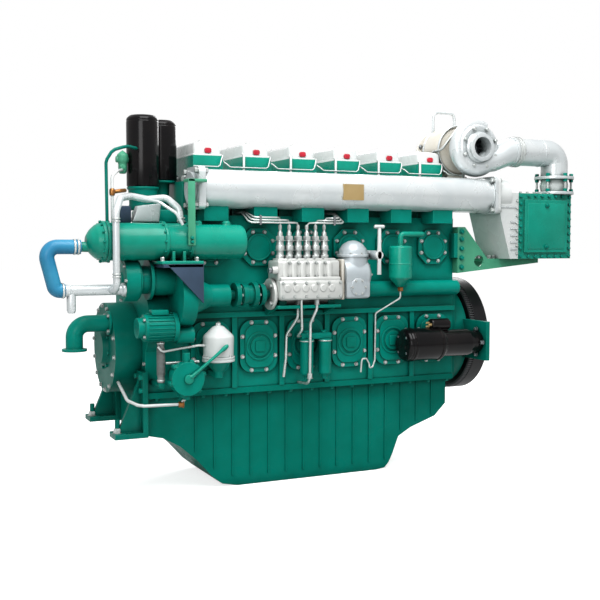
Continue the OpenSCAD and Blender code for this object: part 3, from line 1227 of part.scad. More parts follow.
// Semi-rotary hand pump and its lever
hand_pump_x = -1773;
hand_pump_z = -110;
hand_pump_d = 154;
hand_pump_front = -486;
hand_pump_t = 62;
hand_shaft_d = 24;
hand_hub_d = 46;
hand_neck_d = 60;
hand_lever_l = 240;
hand_lever_angle = 38;
hand_lever_w = 22;
hand_lever_t = 14;
union_d = 34;
union_h = 40;
module hand_pump() color([0.04, 0.56, 0.45]) difference() {
    union() {
        translate([hand_pump_x, hand_pump_front, hand_pump_z]) rod_y(hand_pump_d, hand_pump_t);
        translate([hand_pump_x, hand_pump_front + hand_pump_t, hand_pump_z]) rod_y(hand_neck_d, -case_half_w - hand_pump_front - hand_pump_t - fit_gap);
        for (s = [0, 1]) translate([hand_pump_x, hand_pump_front + hand_pump_t / 2, hand_pump_z - s * (hand_pump_d / 2 + union_h / 2) ])
            rod_z(union_d, s > 0 ? union_h : hand_pump_d / 2 + union_h, coarse);
    }
    translate([hand_pump_x, hand_pump_front - over, hand_pump_z]) rod_y(hand_shaft_d + 2 * run_gap, hand_pump_t);
}
module hand_pump_lever() color([0.1, 0.66, 0.54]) translate([hand_pump_x, 0, hand_pump_z]) {
    translate([0, hand_pump_front - hand_lever_t - run_gap, 0]) rod_y(hand_shaft_d, hand_pump_t - hand_shaft_d / 2);
    translate([0, hand_pump_front - hand_lever_t - run_gap, 0]) {
        rod_y(hand_hub_d, hand_lever_t);
        rotate([0, -hand_lever_angle, 0]) translate([0, 0, -hand_lever_w / 2]) cube([hand_lever_l, hand_lever_t, hand_lever_w]);
    }
}

// Heat exchanger: two shells, the joint zone between them and a domed end
exchanger_y = -412;
exchanger_z = 513;
shell_left = -2150;
shell_mid_left = -1873;
shell_mid_right = -1758;
shell_right = -1472;
shell_flange_d = exchanger_d + 20;
shell_flange_t = 14;
dome_l = 66;
port_boss_d = 46;
module heat_exchanger() color([0.04, 0.62, 0.48]) difference() {
    translate([0, exchanger_y, exchanger_z]) {
        translate([shell_left, 0, 0]) rod_x(exchanger_d + 2 * over, shell_mid_right - shell_left);
        translate([shell_mid_right, 0, 0]) rod_x(exchanger_d - 2 * over, shell_right - shell_mid_right);
        for (x = [shell_left, shell_left + shell_flange_t + over, shell_mid_left, shell_mid_right]) translate([x, 0, 0])
            rod_x(shell_flange_d - (x == shell_left ? over : 0), shell_flange_t);
        translate([shell_left - dome_l / 2, 0, 0]) cone_x(exchanger_d / 2, exchanger_d, dome_l / 2);
        translate([shell_left - dome_l, 0, 0]) cone_x(exchanger_d / 4, exchanger_d / 2, dome_l / 2);
        translate([shell_left - dome_l - port_boss_d / 2, 0, -port_boss_d / 2]) rod_x(port_boss_d, dome_l, coarse);
    }
}
saddle_t = 14;
plate_z = water_z + lobe_r(water_teeth) + fit_gap;
saddle_left = case_front + fit_gap;
saddle_right = -1718;
gusset_low = 236;
gusset_t = 14;
saddle_front = -drive_y - lobe_r(cam_teeth) - gusset_t - fit_gap;
gusset_left = -1888;
stay_x = -1778;
stay_w = 34;
stay_t = 10;
stay_y = exchanger_y - shell_flange_d / 2 - stay_t - fit_gap;
module exchanger_bracket() {
    color([0.04, 0.6, 0.47]) difference() {
        union() {
            box([saddle_left, saddle_front, plate_z],
                [saddle_right, -cam_out - lobe_r(cam_teeth) - fit_gap, plate_z + saddle_t]);
            for (x = [shell_mid_left, shell_mid_right])
                box([x, exchanger_y - exchanger_d / 3, plate_z], [x + saddle_t, exchanger_y + exchanger_d / 3, exchanger_z]);
        }
        translate([saddle_left - over, exchanger_y, exchanger_z])
            rod_x(shell_flange_d + 2 * fit_gap, saddle_right - saddle_left + 2 * over);
    }
    color([0.26, 0.35, 0.42]) translate([0, saddle_front, 0]) profile_y(gusset_t)
        polygon([[gusset_left, plate_z], [saddle_right, plate_z], [saddle_right, gusset_low]]);
    color([0.2, 0.7, 0.55]) {
        translate([stay_x, stay_y, exchanger_z - stay_w / 2]) cube([stay_w, stay_t, air_pipe_z + stay_w - exchanger_z]);
        box([stay_x, stay_y, air_pipe_z - stay_w / 2],
            [air_pipe_front - air_flange_t, -air_pipe_y - air_flange / 2 + stay_t, air_pipe_z + stay_w / 2]);
    }
}

// Coolant pipes: hoop and upright in front of the exchanger, elbows of the hose, water rail
hoop_d = 32;
hoop_rise = 60;
hoop_bend = 44;
tap_d = 40;
upright_x = -2108;
upright_y = exchanger_y - shell_flange_d / 2 - hoop_d / 2 - 2;
hoop_top = 716;
hoop_right = -1780;
hoop_y = -340;
rail_d = 80;
rail_left = -800;
rail_z = 273;
rail_y = -block_half_w - rail_d / 2;
elbow_pipe_d = 54;
hose_top_z = 490;
hose_low_z = 300;
hose_low_x = -2330;
hose_out_x = -2404;
hose_grip = 20;
hose_y = exchanger_y;
stub_low = 200;
stub_x = -2282;
water_front = case_front - 130;
module coolant_pipes() {
    color("silver") {
        pipe([[upright_x, hose_y, hose_low_z], [upright_x, upright_y, hose_low_z], [upright_x, upright_y, hoop_top - hoop_rise],
            [upright_x + hoop_rise, hoop_y - hoop_rise, hoop_top], [hoop_right - hoop_rise, hoop_y - hoop_d, hoop_top],
            [hoop_right, exchanger_y, hoop_top - hoop_rise],
            [hoop_right, exchanger_y, exchanger_z + exchanger_d / 2 + over + fit_gap]], hoop_d, hoop_bend, 10, 4);
        translate([hose_low_x + hose_grip + fit_gap, hose_y, hose_low_z])
            rod_x(elbow_pipe_d, water_front - hose_low_x - hose_grip - 2 * fit_gap);
        translate([stub_x, hose_y, stub_low]) rod_z(tap_d, hose_low_z - stub_low, coarse);
    }
    color([0.04, 0.6, 0.47]) {
        translate([rail_left, rail_y, rail_z]) rod_x(rail_d, block_rear - rail_left);
        inlet_elbow();
    }
}
// Sea-water inlet: an elbow on the front cover that turns down to a flange
module inlet_elbow() difference() {
    union() {
        translate([inlet_elbow_x + inlet_elbow_bend, inlet_elbow_y, inlet_elbow_z])
            rod_x(inlet_elbow_d, case_front - cover_round_l - fit_gap - inlet_elbow_x - inlet_elbow_bend);
        translate([inlet_elbow_x + inlet_elbow_bend, inlet_elbow_y, inlet_elbow_z - inlet_elbow_bend]) rotate([90, 0, 0])
            rotate([0, 0, 90]) rotate_extrude(angle = 90, $fn = fine) translate([inlet_elbow_bend, 0])
                circle(d = inlet_elbow_d, $fn = fine);
        translate([inlet_elbow_x, inlet_elbow_y, inlet_elbow_low]) rod_z(inlet_elbow_d, inlet_elbow_z - inlet_elbow_bend - inlet_elbow_low);
        translate([inlet_elbow_x, inlet_elbow_y, inlet_elbow_low]) rod_z(inlet_flange_d, inlet_flange_t);
        translate([case_front - cover_round_l - fit_gap - inlet_flange_t, inlet_elbow_y, inlet_elbow_z])
            rod_x(inlet_flange_d, inlet_flange_t);
    }
    translate([inlet_elbow_x, inlet_elbow_y, inlet_elbow_low - over])
        rod_z(inlet_bore_d, inlet_elbow_z - inlet_elbow_bend - inlet_elbow_low + over);
    translate([inlet_elbow_x + inlet_elbow_bend, inlet_elbow_y, inlet_elbow_z - inlet_elbow_bend]) rotate([90, 0, 0])
        rotate([0, 0, 90]) rotate_extrude(angle = 90, $fn = fine) translate([inlet_elbow_bend, 0])
            circle(d = inlet_bore_d, $fn = fine);
}

// Hose between the exchanger's end port and the sea-water pump
hose_d = 66;
module coolant_hose() color([0.23, 0.58, 0.78]) pipe([
    [shell_left - dome_l - port_boss_d / 2 - fit_gap, hose_y, hose_top_z],
    [hose_out_x, hose_y, hose_top_z], [hose_low_x - hose_grip, hose_y, hose_low_z], [hose_low_x + hose_grip, hose_y, hose_low_z]],
    hose_d, 40, 12, 5);

// Sea-water pump on the gear case, with the down-turned inlet elbow
water_volute_d = 196;
water_volute_l = 64;
water_body_d = 130;
water_shaft_d = 36;
inlet_elbow_d = 80;
inlet_bore_d = 64;
inlet_elbow_x = -2208;
inlet_elbow_bend = 66;
inlet_elbow_y = -110;
inlet_elbow_z = 128;
inlet_elbow_low = 0;
inlet_flange_d = 116;
inlet_flange_t = 12;
module sea_water_pump() color([0.02, 0.56, 0.45]) difference() {
    union() {
        translate([water_front, water_y, water_z]) rod_x(water_volute_d, water_volute_l);
        translate([water_front + water_volute_l, water_y, water_z]) rod_x(water_body_d, case_front - water_front - water_volute_l);
        translate([case_front - shell_flange_t, water_y, water_z]) rod_x(water_body_d + 4 * shell_flange_t, shell_flange_t);
    }
    translate([water_front + shell_flange_t, water_y, water_z]) rod_x(water_volute_d - 2 * shell_flange_t, water_volute_l - 2 * shell_flange_t);
    translate([water_front + shell_flange_t, water_y, water_z]) rod_x(water_shaft_d + 2 * fit_gap, case_front - water_front);
}
module pump_impeller() color("peru") translate([0, water_y, water_z]) {
    translate([water_front + shell_flange_t + over, 0, 0]) rod_x(water_shaft_d, front_gear_x + gear_t - water_front - shell_flange_t - over);
    translate([water_front + shell_flange_t + over, 0, 0]) rod_x(water_body_d, shell_flange_t);
    translate([front_gear_x, 0, 0]) gear(water_teeth, water_phase, gear_t, 0);
}

// Pre-lubricating pump beside the gear case and its ribbed hose
prelube_x = -1992;
prelube_y = -412;
prelube_z = 124;
prelube_motor_d = 124;
prelube_mid = lobe_x - over;
prelube_pump_d = 78;
prelube_right = -1729;
prelube_cap_d = 92;
prelube_cap_l = 30;
prelube_foot_in = 84;
module prelube_pump() color([0.04, 0.56, 0.44]) {
    translate([prelube_x + prelube_cap_l, prelube_y, prelube_z]) rod_x(prelube_motor_d, prelube_mid - prelube_x - prelube_cap_l);
    translate([prelube_x, prelube_y, prelube_z]) rod_x(prelube_cap_d, prelube_cap_l);
    translate([prelube_mid - bolt_d, prelube_y, prelube_z]) rod_x(prelube_motor_d + bolt_h, bolt_d);
    translate([prelube_mid, prelube_y, drive_z - lobe_r(cam_teeth) - prelube_pump_d / 2 - over])
        rod_x(prelube_pump_d, prelube_right - prelube_mid);
    box([prelube_x + prelube_foot_in, prelube_y, prelube_z - bolt_d], [prelube_mid - bolt_d,
        idler_y - lobe_r(idler_teeth) - fit_gap, prelube_z + bolt_d]);
}
hose_ribs = 22;
hose_rib_d = 40;
hose_root_d = 32;
hose_bore_d = 24;
ribbed_x = -1880;
ribbed_top = prelube_z - prelube_motor_d / 2 - fit_gap;
ribbed_low = -128;
module prelube_hose() color("gray") translate([ribbed_x, prelube_y, 0]) difference() {
    rotate_extrude($fn = coarse) polygon(concat([[0, ribbed_low], [hose_root_d / 2, ribbed_low]],
        [for (k = [0 : hose_ribs - 1], s = [0, 1]) [s == 0 ? hose_rib_d / 2 : hose_root_d / 2,
            ribbed_low + hose_root_d + (k + (s == 0 ? 0.5 : 1)) * (ribbed_top - ribbed_low - 2 * hose_root_d) / hose_ribs]],
        [[hose_root_d / 2, ribbed_top], [0, ribbed_top]]));
    translate([0, 0, ribbed_low - over]) rod_z(hose_bore_d, ribbed_top - ribbed_low + 2 * over, coarse);
}

// Oil filters on their base above the gear case
filter_low = [768, 808];
filter_high = 1100;
filter_neck_d = [148, 92];
filter_x = [-1905, -1771];
filter_y = [-230, -80];
filter_base_h = 64;
filter_cap_h = 24;
module oil_filters() {
    color([0.08, 0.08, 0.09]) for (k = [0, 1]) translate([filter_x[k], filter_y[k], filter_low[k]]) {
        rod_z(oil_filter_d, filter_high - filter_low[k] - filter_cap_h);
        rod_z(oil_filter_d - filter_cap_h, filter_high - filter_low[k]);
    }
    color([0.5, 0.62, 0.58]) {
        for (k = [0, 1]) translate([filter_x[k], filter_y[k], case_top + filter_base_h])
            rod_z(filter_neck_d[k], filter_low[k] - case_top - filter_base_h);
        box([case_front, filter_y[0] - oil_filter_d / 4, case_top],
            [block_front, filter_y[1] + oil_filter_d / 4, case_top + filter_base_h]);
    }
}

// Starter with its solenoid, nose and sliding pinion
starter_left = -598;
starter_step = -372;
starter_nose_d = 140;
solenoid_d = 62;
solenoid_l = 120;
pinion_l = 26;
pinion_shaft_d = 30;
reduction_d = 88;
reduction_l = 114;
pinion_bore_l = 52;
pinion_pocket_l = 54;
pinion_turn = mesh_phase(atan2(starter_z, -pinion_y), 0, ring_teeth, pinion_teeth);
pinion_back = housing_rear - ear_t - pinion_pocket_l - pinion_bore_l + 2 * over;
module starter_motor() color([0.07, 0.07, 0.08]) difference() {
    union() {
        translate([starter_left + bolt_d, -starter_y, starter_z]) rod_x(starter_d, starter_step - starter_left - bolt_d);
        translate([starter_left, -starter_y, starter_z]) rod_x(starter_d - bolt_d, bolt_d);
        translate([starter_step, -starter_y, starter_z]) rod_x(starter_nose_d, housing_rear - ear_t - starter_step);
        translate([starter_step - solenoid_l / 2, -starter_y, starter_z + starter_d / 2 + solenoid_d / 4])
            rod_x(solenoid_d, solenoid_l, coarse);
        translate([housing_rear - ear_t - reduction_l, -pinion_y, starter_z]) rod_x(reduction_d, reduction_l);
    }
    translate([housing_rear - ear_t - pinion_pocket_l, -pinion_y, starter_z])
        rod_x(pinion_hole_d - 2 * over, pinion_pocket_l + over);
    translate([pinion_back - 2 * over, -pinion_y, starter_z])
        rod_x(pinion_shaft_d + 2 * run_gap, pinion_bore_l + over);
}
module starter_pinion() color("silver") translate([0, -pinion_y, starter_z]) {
    translate([pinion_back, 0, 0]) rod_x(pinion_shaft_d, housing_rear - pinion_back);
    translate([housing_rear - pinion_l, 0, 0]) profile_x(pinion_l) rotate(pinion_turn)
        polygon(ring_points(pinion_teeth, ring_module));
}

crankcase();
main_bearing_caps();
cylinder_liners();
crankcase_doors();
camshaft_covers();
cover_bolts();
oil_pan();
front_feet();
gear_case();
front_cover();
flywheel_housing();
cylinder_heads();
rocker_covers();
crankshaft();
vibration_damper();
flywheel();
ring_gear();
pistons_1_and_6();
pistons_2_and_5();
pistons_3_and_4();
connecting_rods_1_and_6();
connecting_rods_2_and_5();
connecting_rods_3_and_4();
camshaft();
idler_gear();
push_rods();
charge_air_pipe();
intake_branches();
blank_plate();
compressor_housing();
turbine_housing();
turbo_rotor();
exhaust_manifold();
turbine_frame();
air_elbow();
air_cooler();
air_cooler_hood();
cooler_bracket();
injection_pump();
governor();
control_lever();
fuel_rack();
pump_drive_shaft();
injection_pipes();
oil_pipes();
fuel_filters();
oil_centrifuge();
hand_pump();
hand_pump_lever();
heat_exchanger();
exchanger_bracket();
coolant_pipes();
coolant_hose();
sea_water_pump();
pump_impeller();
prelube_pump();
prelube_hose();
oil_filters();
starter_motor();
starter_pinion();
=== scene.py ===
"""Looks of a six-cylinder marine diesel engine, built round its packed construction model.

Sizes are in millimetres of the engine's own frame (X along the crankshaft, Z up, origin at the
flywheel's output face) and become metres when a mesh is made. Every sub-assembly is a class
whose fields hold its sizes; its methods build and dress its pieces.
"""

import logging
import math
from dataclasses import dataclass
from enum import Enum
from itertools import pairwise

import bmesh
import bpy
from mathutils import Matrix, Vector


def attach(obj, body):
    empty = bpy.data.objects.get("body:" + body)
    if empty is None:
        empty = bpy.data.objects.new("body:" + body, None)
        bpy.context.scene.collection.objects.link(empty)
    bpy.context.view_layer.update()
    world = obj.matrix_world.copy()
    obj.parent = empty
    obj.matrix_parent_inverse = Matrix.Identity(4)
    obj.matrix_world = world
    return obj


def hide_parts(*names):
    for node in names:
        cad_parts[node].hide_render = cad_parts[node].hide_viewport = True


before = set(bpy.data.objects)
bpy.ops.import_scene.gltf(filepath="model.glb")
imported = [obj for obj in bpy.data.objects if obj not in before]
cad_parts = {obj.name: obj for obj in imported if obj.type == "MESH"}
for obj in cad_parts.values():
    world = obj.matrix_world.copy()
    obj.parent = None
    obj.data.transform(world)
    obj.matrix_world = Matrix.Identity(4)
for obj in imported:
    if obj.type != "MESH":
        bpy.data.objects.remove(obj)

LOG = logging.getLogger("marine_engine")
MM = 0.001
# Cylinder axes along X: six at the pitch that the whole engine was scaled by
CYLINDERS = tuple(-1600 + 250 * i for i in range(6))
# Size of the broad colour patches, and how far into a recess the painted shade reaches
PATCH_MM, HOLLOW_MM = 140, 90
# Edge radius that a sand casting has, and that sheet or a machined part has
CAST_EDGE_MM, SHEET_EDGE_MM = 4.0, 1.5
Point = tuple[float, float, float]
Pair = tuple[float, float]
Outline = list[Pair]
Object, Socket = bpy.types.Object, bpy.types.NodeSocket
ENGINE, CRANK = "engine", "crankshaft_group"


def add(tree: bpy.types.NodeTree, kind: str, inputs: dict | None = None, **settings: object) -> bpy.types.Node:
    """Add one node to a tree.

    Args:
        tree: Shader or geometry tree.
        kind: Node type name.
        inputs: Socket name or number, and the value or the output socket that feeds it.
        settings: Node properties.

    Returns:
        The new node.
    """
    node = tree.nodes.new(kind)
    for key, value in settings.items():
        setattr(node, key, value)
    for key, value in (inputs or {}).items():
        if isinstance(value, Socket):
            tree.links.new(value, node.inputs[key])
        else:
            node.inputs[key].default_value = value
    return node


def linear(hex_colour: str) -> tuple[float, float, float, float]:
    """Turn an sRGB hex colour into linear RGBA.

    Args:
        hex_colour: Six hex digits.

    Returns:
        Linear red, green, blue and full alpha.
    """
    parts = [int(hex_colour[i:i + 2], 16) / 255 for i in (0, 2, 4)]
    return tuple(p / 12.92 if p <= 0.04045 else ((p + 0.055) / 1.055) ** 2.4 for p in parts) + (1.0,)


def linked(name: str, data: bpy.types.ID | None) -> Object:
    """Make an object and link it to the scene.

    Args:
        name: Name of the object.
        data: Mesh, light or camera of the object, or none for an empty.

    Returns:
        The object.
    """
    obj = bpy.data.objects.new(name, data)
    bpy.context.scene.collection.objects.link(obj)
    return obj


# ---------------------------------------------------------------- finishes


class Skin(Enum):
    """How a surface was made, which decides its relief."""

    SAND_CAST = "sand cast"
    SHEET = "rolled sheet"
    TURNED = "turned or drawn"
    RUBBER = "moulded rubber"


@dataclass(frozen=True)
class Finish:
    """One finish of the engine, or a lit or shaded copy of one, and the material that shows it.

    Attributes:
        name: What the finish is, also the material's name.
        slot: Slot of the record that the finish stands for; not used.
        colour: Main colour, sRGB hex.
        shade: Second colour that broad patches drift towards.
        rough: Roughness of the main colour.
        metallic: Share of bare metal.
        coat: Weight of the clear gloss of enamel.
        shine: Specular level of the paint itself.
        skin: How the surface was made.
        grain_mm: Size of the fine relief.
        relief_mm: Depth of the fine relief.
        edge_highlight: Paler colour painted along the rounded edges as a painted highlight, or empty for none.
        recess_shade: Colour that recesses are darkened towards, painted shade.
    """

    name: str
    slot: str
    colour: str
    shade: str
    rough: float
    metallic: float = 0.0
    coat: float = 0.0
    shine: float = 0.5
    skin: Skin = Skin.SAND_CAST
    grain_mm: float = 7.0
    relief_mm: float = 0.5
    edge_highlight: str = ""
    recess_shade: str = ""

    def material(self) -> bpy.types.Material:
        """Give the node material of this finish, made once.

        Returns:
            The material.
        """
        made = bpy.data.materials.get(self.name)
        if made:
            return made
        made = bpy.data.materials.new(self.name)
        made.use_nodes = True
        tree = made.node_tree
        tree.nodes.clear()
        place = add(tree, "ShaderNodeTexCoord").outputs["Object"]
        broad = add(tree, "ShaderNodeTexNoise", {"Vector": place, "Scale": 1 / (PATCH_MM * MM), "Detail": 4.0})
        fine = self._fine_relief(tree, place)
        patch = add(tree, "ShaderNodeMapRange", {"Value": broad.outputs["Fac"], "From Min": 0.36, "From Max": 0.66})
        colour = add(tree, "ShaderNodeMix", {0: patch.outputs[0], 6: linear(self.colour), 7: linear(self.shade)},
                     data_type="RGBA").outputs[2]
        # The corner radius that the casting or sheet has, too small to model on every edge
        edge_mm = CAST_EDGE_MM if self.skin is Skin.SAND_CAST else SHEET_EDGE_MM
        corner = add(tree, "ShaderNodeBevel", {"Radius": edge_mm * MM}, samples=4)
        # Rounded edges, found where the bevel normal turns from the surface normal, take the paler edge colour: a
        # painted highlight
        if self.edge_highlight:
            normal = add(tree, "ShaderNodeNewGeometry").outputs["Normal"]
            turn = add(tree, "ShaderNodeVectorMath", {0: corner.outputs[0], 1: normal}, operation="DOT_PRODUCT")
            edge = add(tree, "ShaderNodeMapRange",
                       {"Value": turn.outputs["Value"], "From Min": 0.985, "From Max": 0.82})
            highlight_mask = add(tree, "ShaderNodeMath", {0: edge.outputs[0], 1: fine}, operation="MULTIPLY")
            colour = add(tree, "ShaderNodeMix", {0: highlight_mask.outputs[0], 6: colour, 7: linear(self.edge_highlight)},
                         data_type="RGBA").outputs[2]
        # Ambient occlusion darkens the recesses towards the recess colour: painted shade
        if self.recess_shade:
            hollow = add(tree, "ShaderNodeAmbientOcclusion", {"Distance": HOLLOW_MM * MM}, samples=6)
            deep = add(tree, "ShaderNodeMapRange",
                       {"Value": hollow.outputs["AO"], "From Min": 0.78, "From Max": 0.22, "To Max": 0.92})
            colour = add(tree, "ShaderNodeMix", {0: deep.outputs[0], 6: colour, 7: linear(self.recess_shade)},
                         data_type="RGBA").outputs[2]
        rough = add(tree, "ShaderNodeMapRange", {"Value": broad.outputs["Fac"], "From Min": 0.3, "From Max": 0.7,
                                                 "To Min": max(self.rough - 0.06, 0.05), "To Max": self.rough + 0.08})
        bump = add(tree, "ShaderNodeBump",
                   {"Height": fine, "Normal": corner.outputs[0], "Strength": 0.55, "Distance": self.relief_mm * MM})
        surface = add(tree, "ShaderNodeBsdfPrincipled", {"Base Color": colour, "Roughness": rough.outputs[0],
                                                         "Normal": bump.outputs[0], "Metallic": self.metallic,
                                                         "Coat Weight": self.coat, "Coat Roughness": 0.12,
                                                         "Specular IOR Level": self.shine})
        add(tree, "ShaderNodeOutputMaterial", {"Surface": surface.outputs[0]})
        return made

    def _fine_relief(self, tree: bpy.types.NodeTree, place: Socket) -> Socket:
        """Add the fine relief of this skin.

        Args:
            tree: Tree of the material.
            place: Object coordinates.

        Returns:
            Height output between 0 and 1.
        """
        scale = 1 / (self.grain_mm * MM)
        if self.skin is Skin.TURNED:
            # Tool marks run round the part, so the noise is stretched along one way
            long = add(tree, "ShaderNodeMapping", {"Vector": place, "Scale": (1.0, 0.12, 0.12)})
            return add(tree, "ShaderNodeTexNoise", {"Vector": long.outputs[0], "Scale": scale}).outputs["Fac"]
        if self.skin is Skin.SAND_CAST:
            sand = add(tree, "ShaderNodeTexNoise", {"Vector": place, "Scale": scale, "Detail": 6.0, "Roughness": 0.6})
            lumps = add(tree, "ShaderNodeTexVoronoi", {"Vector": place, "Scale": scale / 2.5, "Smoothness": 1.0},
                        feature="SMOOTH_F1")
            both = {0: 0.35, 2: sand.outputs["Fac"], 3: lumps.outputs["Distance"]}
            return add(tree, "ShaderNodeMix", both).outputs[0]
        detail = 2.0 if self.skin is Skin.SHEET else 5.0
        return add(tree, "ShaderNodeTexNoise", {"Vector": place, "Scale": scale, "Detail": detail}).outputs["Fac"]


# In each finish below, the paler edge colour is a painted highlight and the dark recess colour is painted shade
# Gloss enamel sprayed over rough iron: deep teal, with a painted highlight of pale teal on its edges
TEAL = Finish("teal enamel on cast iron", "teal_paint", "029a89", "028a78", 0.34, coat=0.04, shine=0.1, edge_highlight="46c4a8",
              recess_shade="00201c")
# A lighter copy of the teal on the heads and covers, painted light, over a smoother casting
BRIGHT_TEAL = Finish("teal enamel lightened as painted light", "teal_paint", "0aa48c", "07937c", 0.28, coat=0.12,
                     shine=0.25, grain_mm=11, relief_mm=0.35, edge_highlight="62d8ba", recess_shade="003830")
# Sheet steel of the pan, the same enamel without the sand marks
DEEP_TEAL = Finish("teal enamel on steel plate", "deep_teal_paint", "008a79", "00806f", 0.30, coat=0.03, shine=0.06,
                   skin=Skin.SHEET, grain_mm=90, relief_mm=1.2, edge_highlight="12937c", recess_shade="00241f")
# Lower castings in a darker, bluer copy of the teal: painted shade
SHADE_TEAL = Finish("teal enamel darkened as painted shade", "deep_teal_paint", "018272", "017263", 0.34, coat=0.04, shine=0.1,
                    edge_highlight="2fae94", recess_shade="001c18")
# Plate bracket brushed with a lighter green
PALE_GREEN = Finish("pale green enamel on plate", "light_green_paint", "58b48e", "4ba682", 0.34, coat=0.1, shine=0.3,
                    skin=Skin.SHEET, grain_mm=70, relief_mm=0.8, edge_highlight="9fe3c6", recess_shade="145a48")
# Aluminium-pigment paint on the charge-air pipework: bright, satin, slightly metallic
SILVER = Finish("aluminium paint on steel tube", "silver_paint", "eef3f4", "e0e7e9", 0.28, metallic=0.3,
                skin=Skin.SHEET, grain_mm=60, relief_mm=0.5, edge_highlight="ffffff", recess_shade="3a4f4c")
# White gloss enamel of covers and bell
WHITE = Finish("white gloss enamel", "white_paint", "f0f3f2", "e4eae9", 0.25, coat=0.3, skin=Skin.SHEET, grain_mm=50,
               relief_mm=0.5, edge_highlight="ffffff", recess_shade="6d827c")
# Heat-stained cream paint of the turbine side
CREAM = Finish("cream heat paint on cast iron", "cream_paint", "efece3", "e2dcce", 0.42, grain_mm=8, edge_highlight="ffffff",
               recess_shade="6a6048")
# Black stoving enamel of filters and starter: nearly a mirror on the filters
BLACK = Finish("black stoving enamel", "black_paint", "0b0a0c", "130f10", 0.2, coat=0.15, shine=0.15, skin=Skin.SHEET,
               grain_mm=40, relief_mm=0.4, edge_highlight="4a4038", recess_shade="030304")
# Black paint over turned iron of the flywheel: duller than the filters, with a painted grey highlight on its edges
BLACK_IRON = Finish("black paint on machined iron", "black_paint", "101012", "1a191c", 0.38, coat=0.05, shine=0.25,
                    grain_mm=6, edge_highlight="47454a", recess_shade="030304")
# Slate paint: flat and even, with a painted highlight along its edges; the dark gusset plate stands for shade,
# painted shade
SLATE = Finish("slate grey paint on plate", "slate_paint", "3c5068", "34465a", 0.36, coat=0.1, shine=0.3,
               skin=Skin.SHEET, grain_mm=60, relief_mm=0.6, edge_highlight="8195aa", recess_shade="12191f")
# Shot-blasted aluminium castings of the pump and governor: pale, dull and a little warm
ALUMINIUM = Finish("blasted cast aluminium", "cast_aluminium", "eceeea", "dcdedb", 0.36, metallic=0.25, grain_mm=5,
                   relief_mm=0.6, edge_highlight="ffffff", recess_shade="20231f")
# Anodised casing of the governor: cooler and smoother than the blasted pump
BLUED = Finish("anodised governor casing", "cast_aluminium", "cbd4d8", "bcc6cc", 0.34, metallic=0.25, grain_mm=7,
               relief_mm=0.4, edge_highlight="ffffff", recess_shade="1c2628")
# Zinc-plated fasteners and drawn steel pipes
ZINC = Finish("zinc plated steel", "bare_steel", "e2e6e4", "cfd5d2", 0.28, metallic=0.5, skin=Skin.TURNED, grain_mm=4,
              relief_mm=0.1, recess_shade="3b4442")
# Turned and ground steel: bright, with streaks round the part
STEEL = Finish("machined steel", "machined_steel", "a3a7aa", "8f9498", 0.30, metallic=0.9, skin=Skin.TURNED,
               grain_mm=4, relief_mm=0.15, recess_shade="22262a")
# Cut cast iron: dark grey and dull, with a fine open grain
IRON = Finish("machined cast iron", "cast_iron", "6f7072", "5d5e61", 0.45, metallic=0.7, grain_mm=5, recess_shade="17181a")
# Turned piston alloy: pale, with fine rings
PISTON = Finish("piston alloy", "piston_alloy", "b9bcbd", "a8acae", 0.32, metallic=0.8, skin=Skin.TURNED, grain_mm=3,
                relief_mm=0.1)
# Cast bronze of small nuts and the impeller: warm, with painted shade in its recesses
BRONZE = Finish("cast bronze", "bronze", "b27a45", "94602f", 0.34, metallic=0.85, grain_mm=5, recess_shade="33200f")
# Brushed brass of the bare plate: fine streaks and a painted highlight on its rim
BRASS = Finish("brushed brass plate", "plate_brass", "cdb17c", "bfa068", 0.34, metallic=0.4, skin=Skin.TURNED,
               grain_mm=5, relief_mm=0.1, edge_highlight="efdcae")
# Red enamel of the tags on the covers: smooth and glossy
RED = Finish("red enamel disc", "white_paint", "d5253a", "b81e33", 0.30, coat=0.2, skin=Skin.SHEET, grain_mm=20,
             relief_mm=0.2)
# Wrapped silicone hose: a soft sheen, with a painted highlight along its edges
BLUE_RUBBER = Finish("blue silicone hose", "blue_hose_rubber", "3d9cc4", "2a83b2", 0.36, coat=0.05, shine=0.3,
                     skin=Skin.RUBBER, grain_mm=9, relief_mm=0.4, edge_highlight="8cc6e6", recess_shade="0c2c44")
# Moulded rubber of the ribbed hose: matt, with a painted highlight on its ribs and painted shade between them
GREY_RUBBER = Finish("grey ribbed rubber", "grey_hose_rubber", "9da2a0", "868c8a", 0.55, skin=Skin.RUBBER, grain_mm=4,
                     relief_mm=0.3, edge_highlight="d3d7d5", recess_shade="1c2221")

NODE_FINISH: dict[Finish, tuple[str, ...]] = {
    TEAL: ("crankcase", "crankcase_doors", "camshaft_covers", "gear_case", "sea_water_pump", "prelube_pump",
           "hand_pump", "intake_branches"),
    BRIGHT_TEAL: ("cylinder_heads", "air_cooler"),
    DEEP_TEAL: ("oil_pan",),
    SHADE_TEAL: ("front_feet", "flywheel_housing", "front_cover", "pump_drive_shaft"),
    PALE_GREEN: ("cooler_bracket",),
    SILVER: ("charge_air_pipe", "turbine_frame"),
    WHITE: ("air_cooler_hood",),
    CREAM: ("exhaust_manifold",),
    BRASS: ("blank_plate",),
    BLACK_IRON: ("flywheel", "vibration_damper"),
    IRON: ("ring_gear", "main_bearing_caps", "cylinder_liners", "idler_gear"),
    STEEL: ("crankshaft", "camshaft", "push_rods", "fuel_rack", "connecting_rods_1_and_6",
            "connecting_rods_2_and_5", "connecting_rods_3_and_4", "starter_pinion", "turbo_rotor"),
    PISTON: ("pistons_1_and_6", "pistons_2_and_5", "pistons_3_and_4"),
    BRONZE: ("pump_impeller",),
}


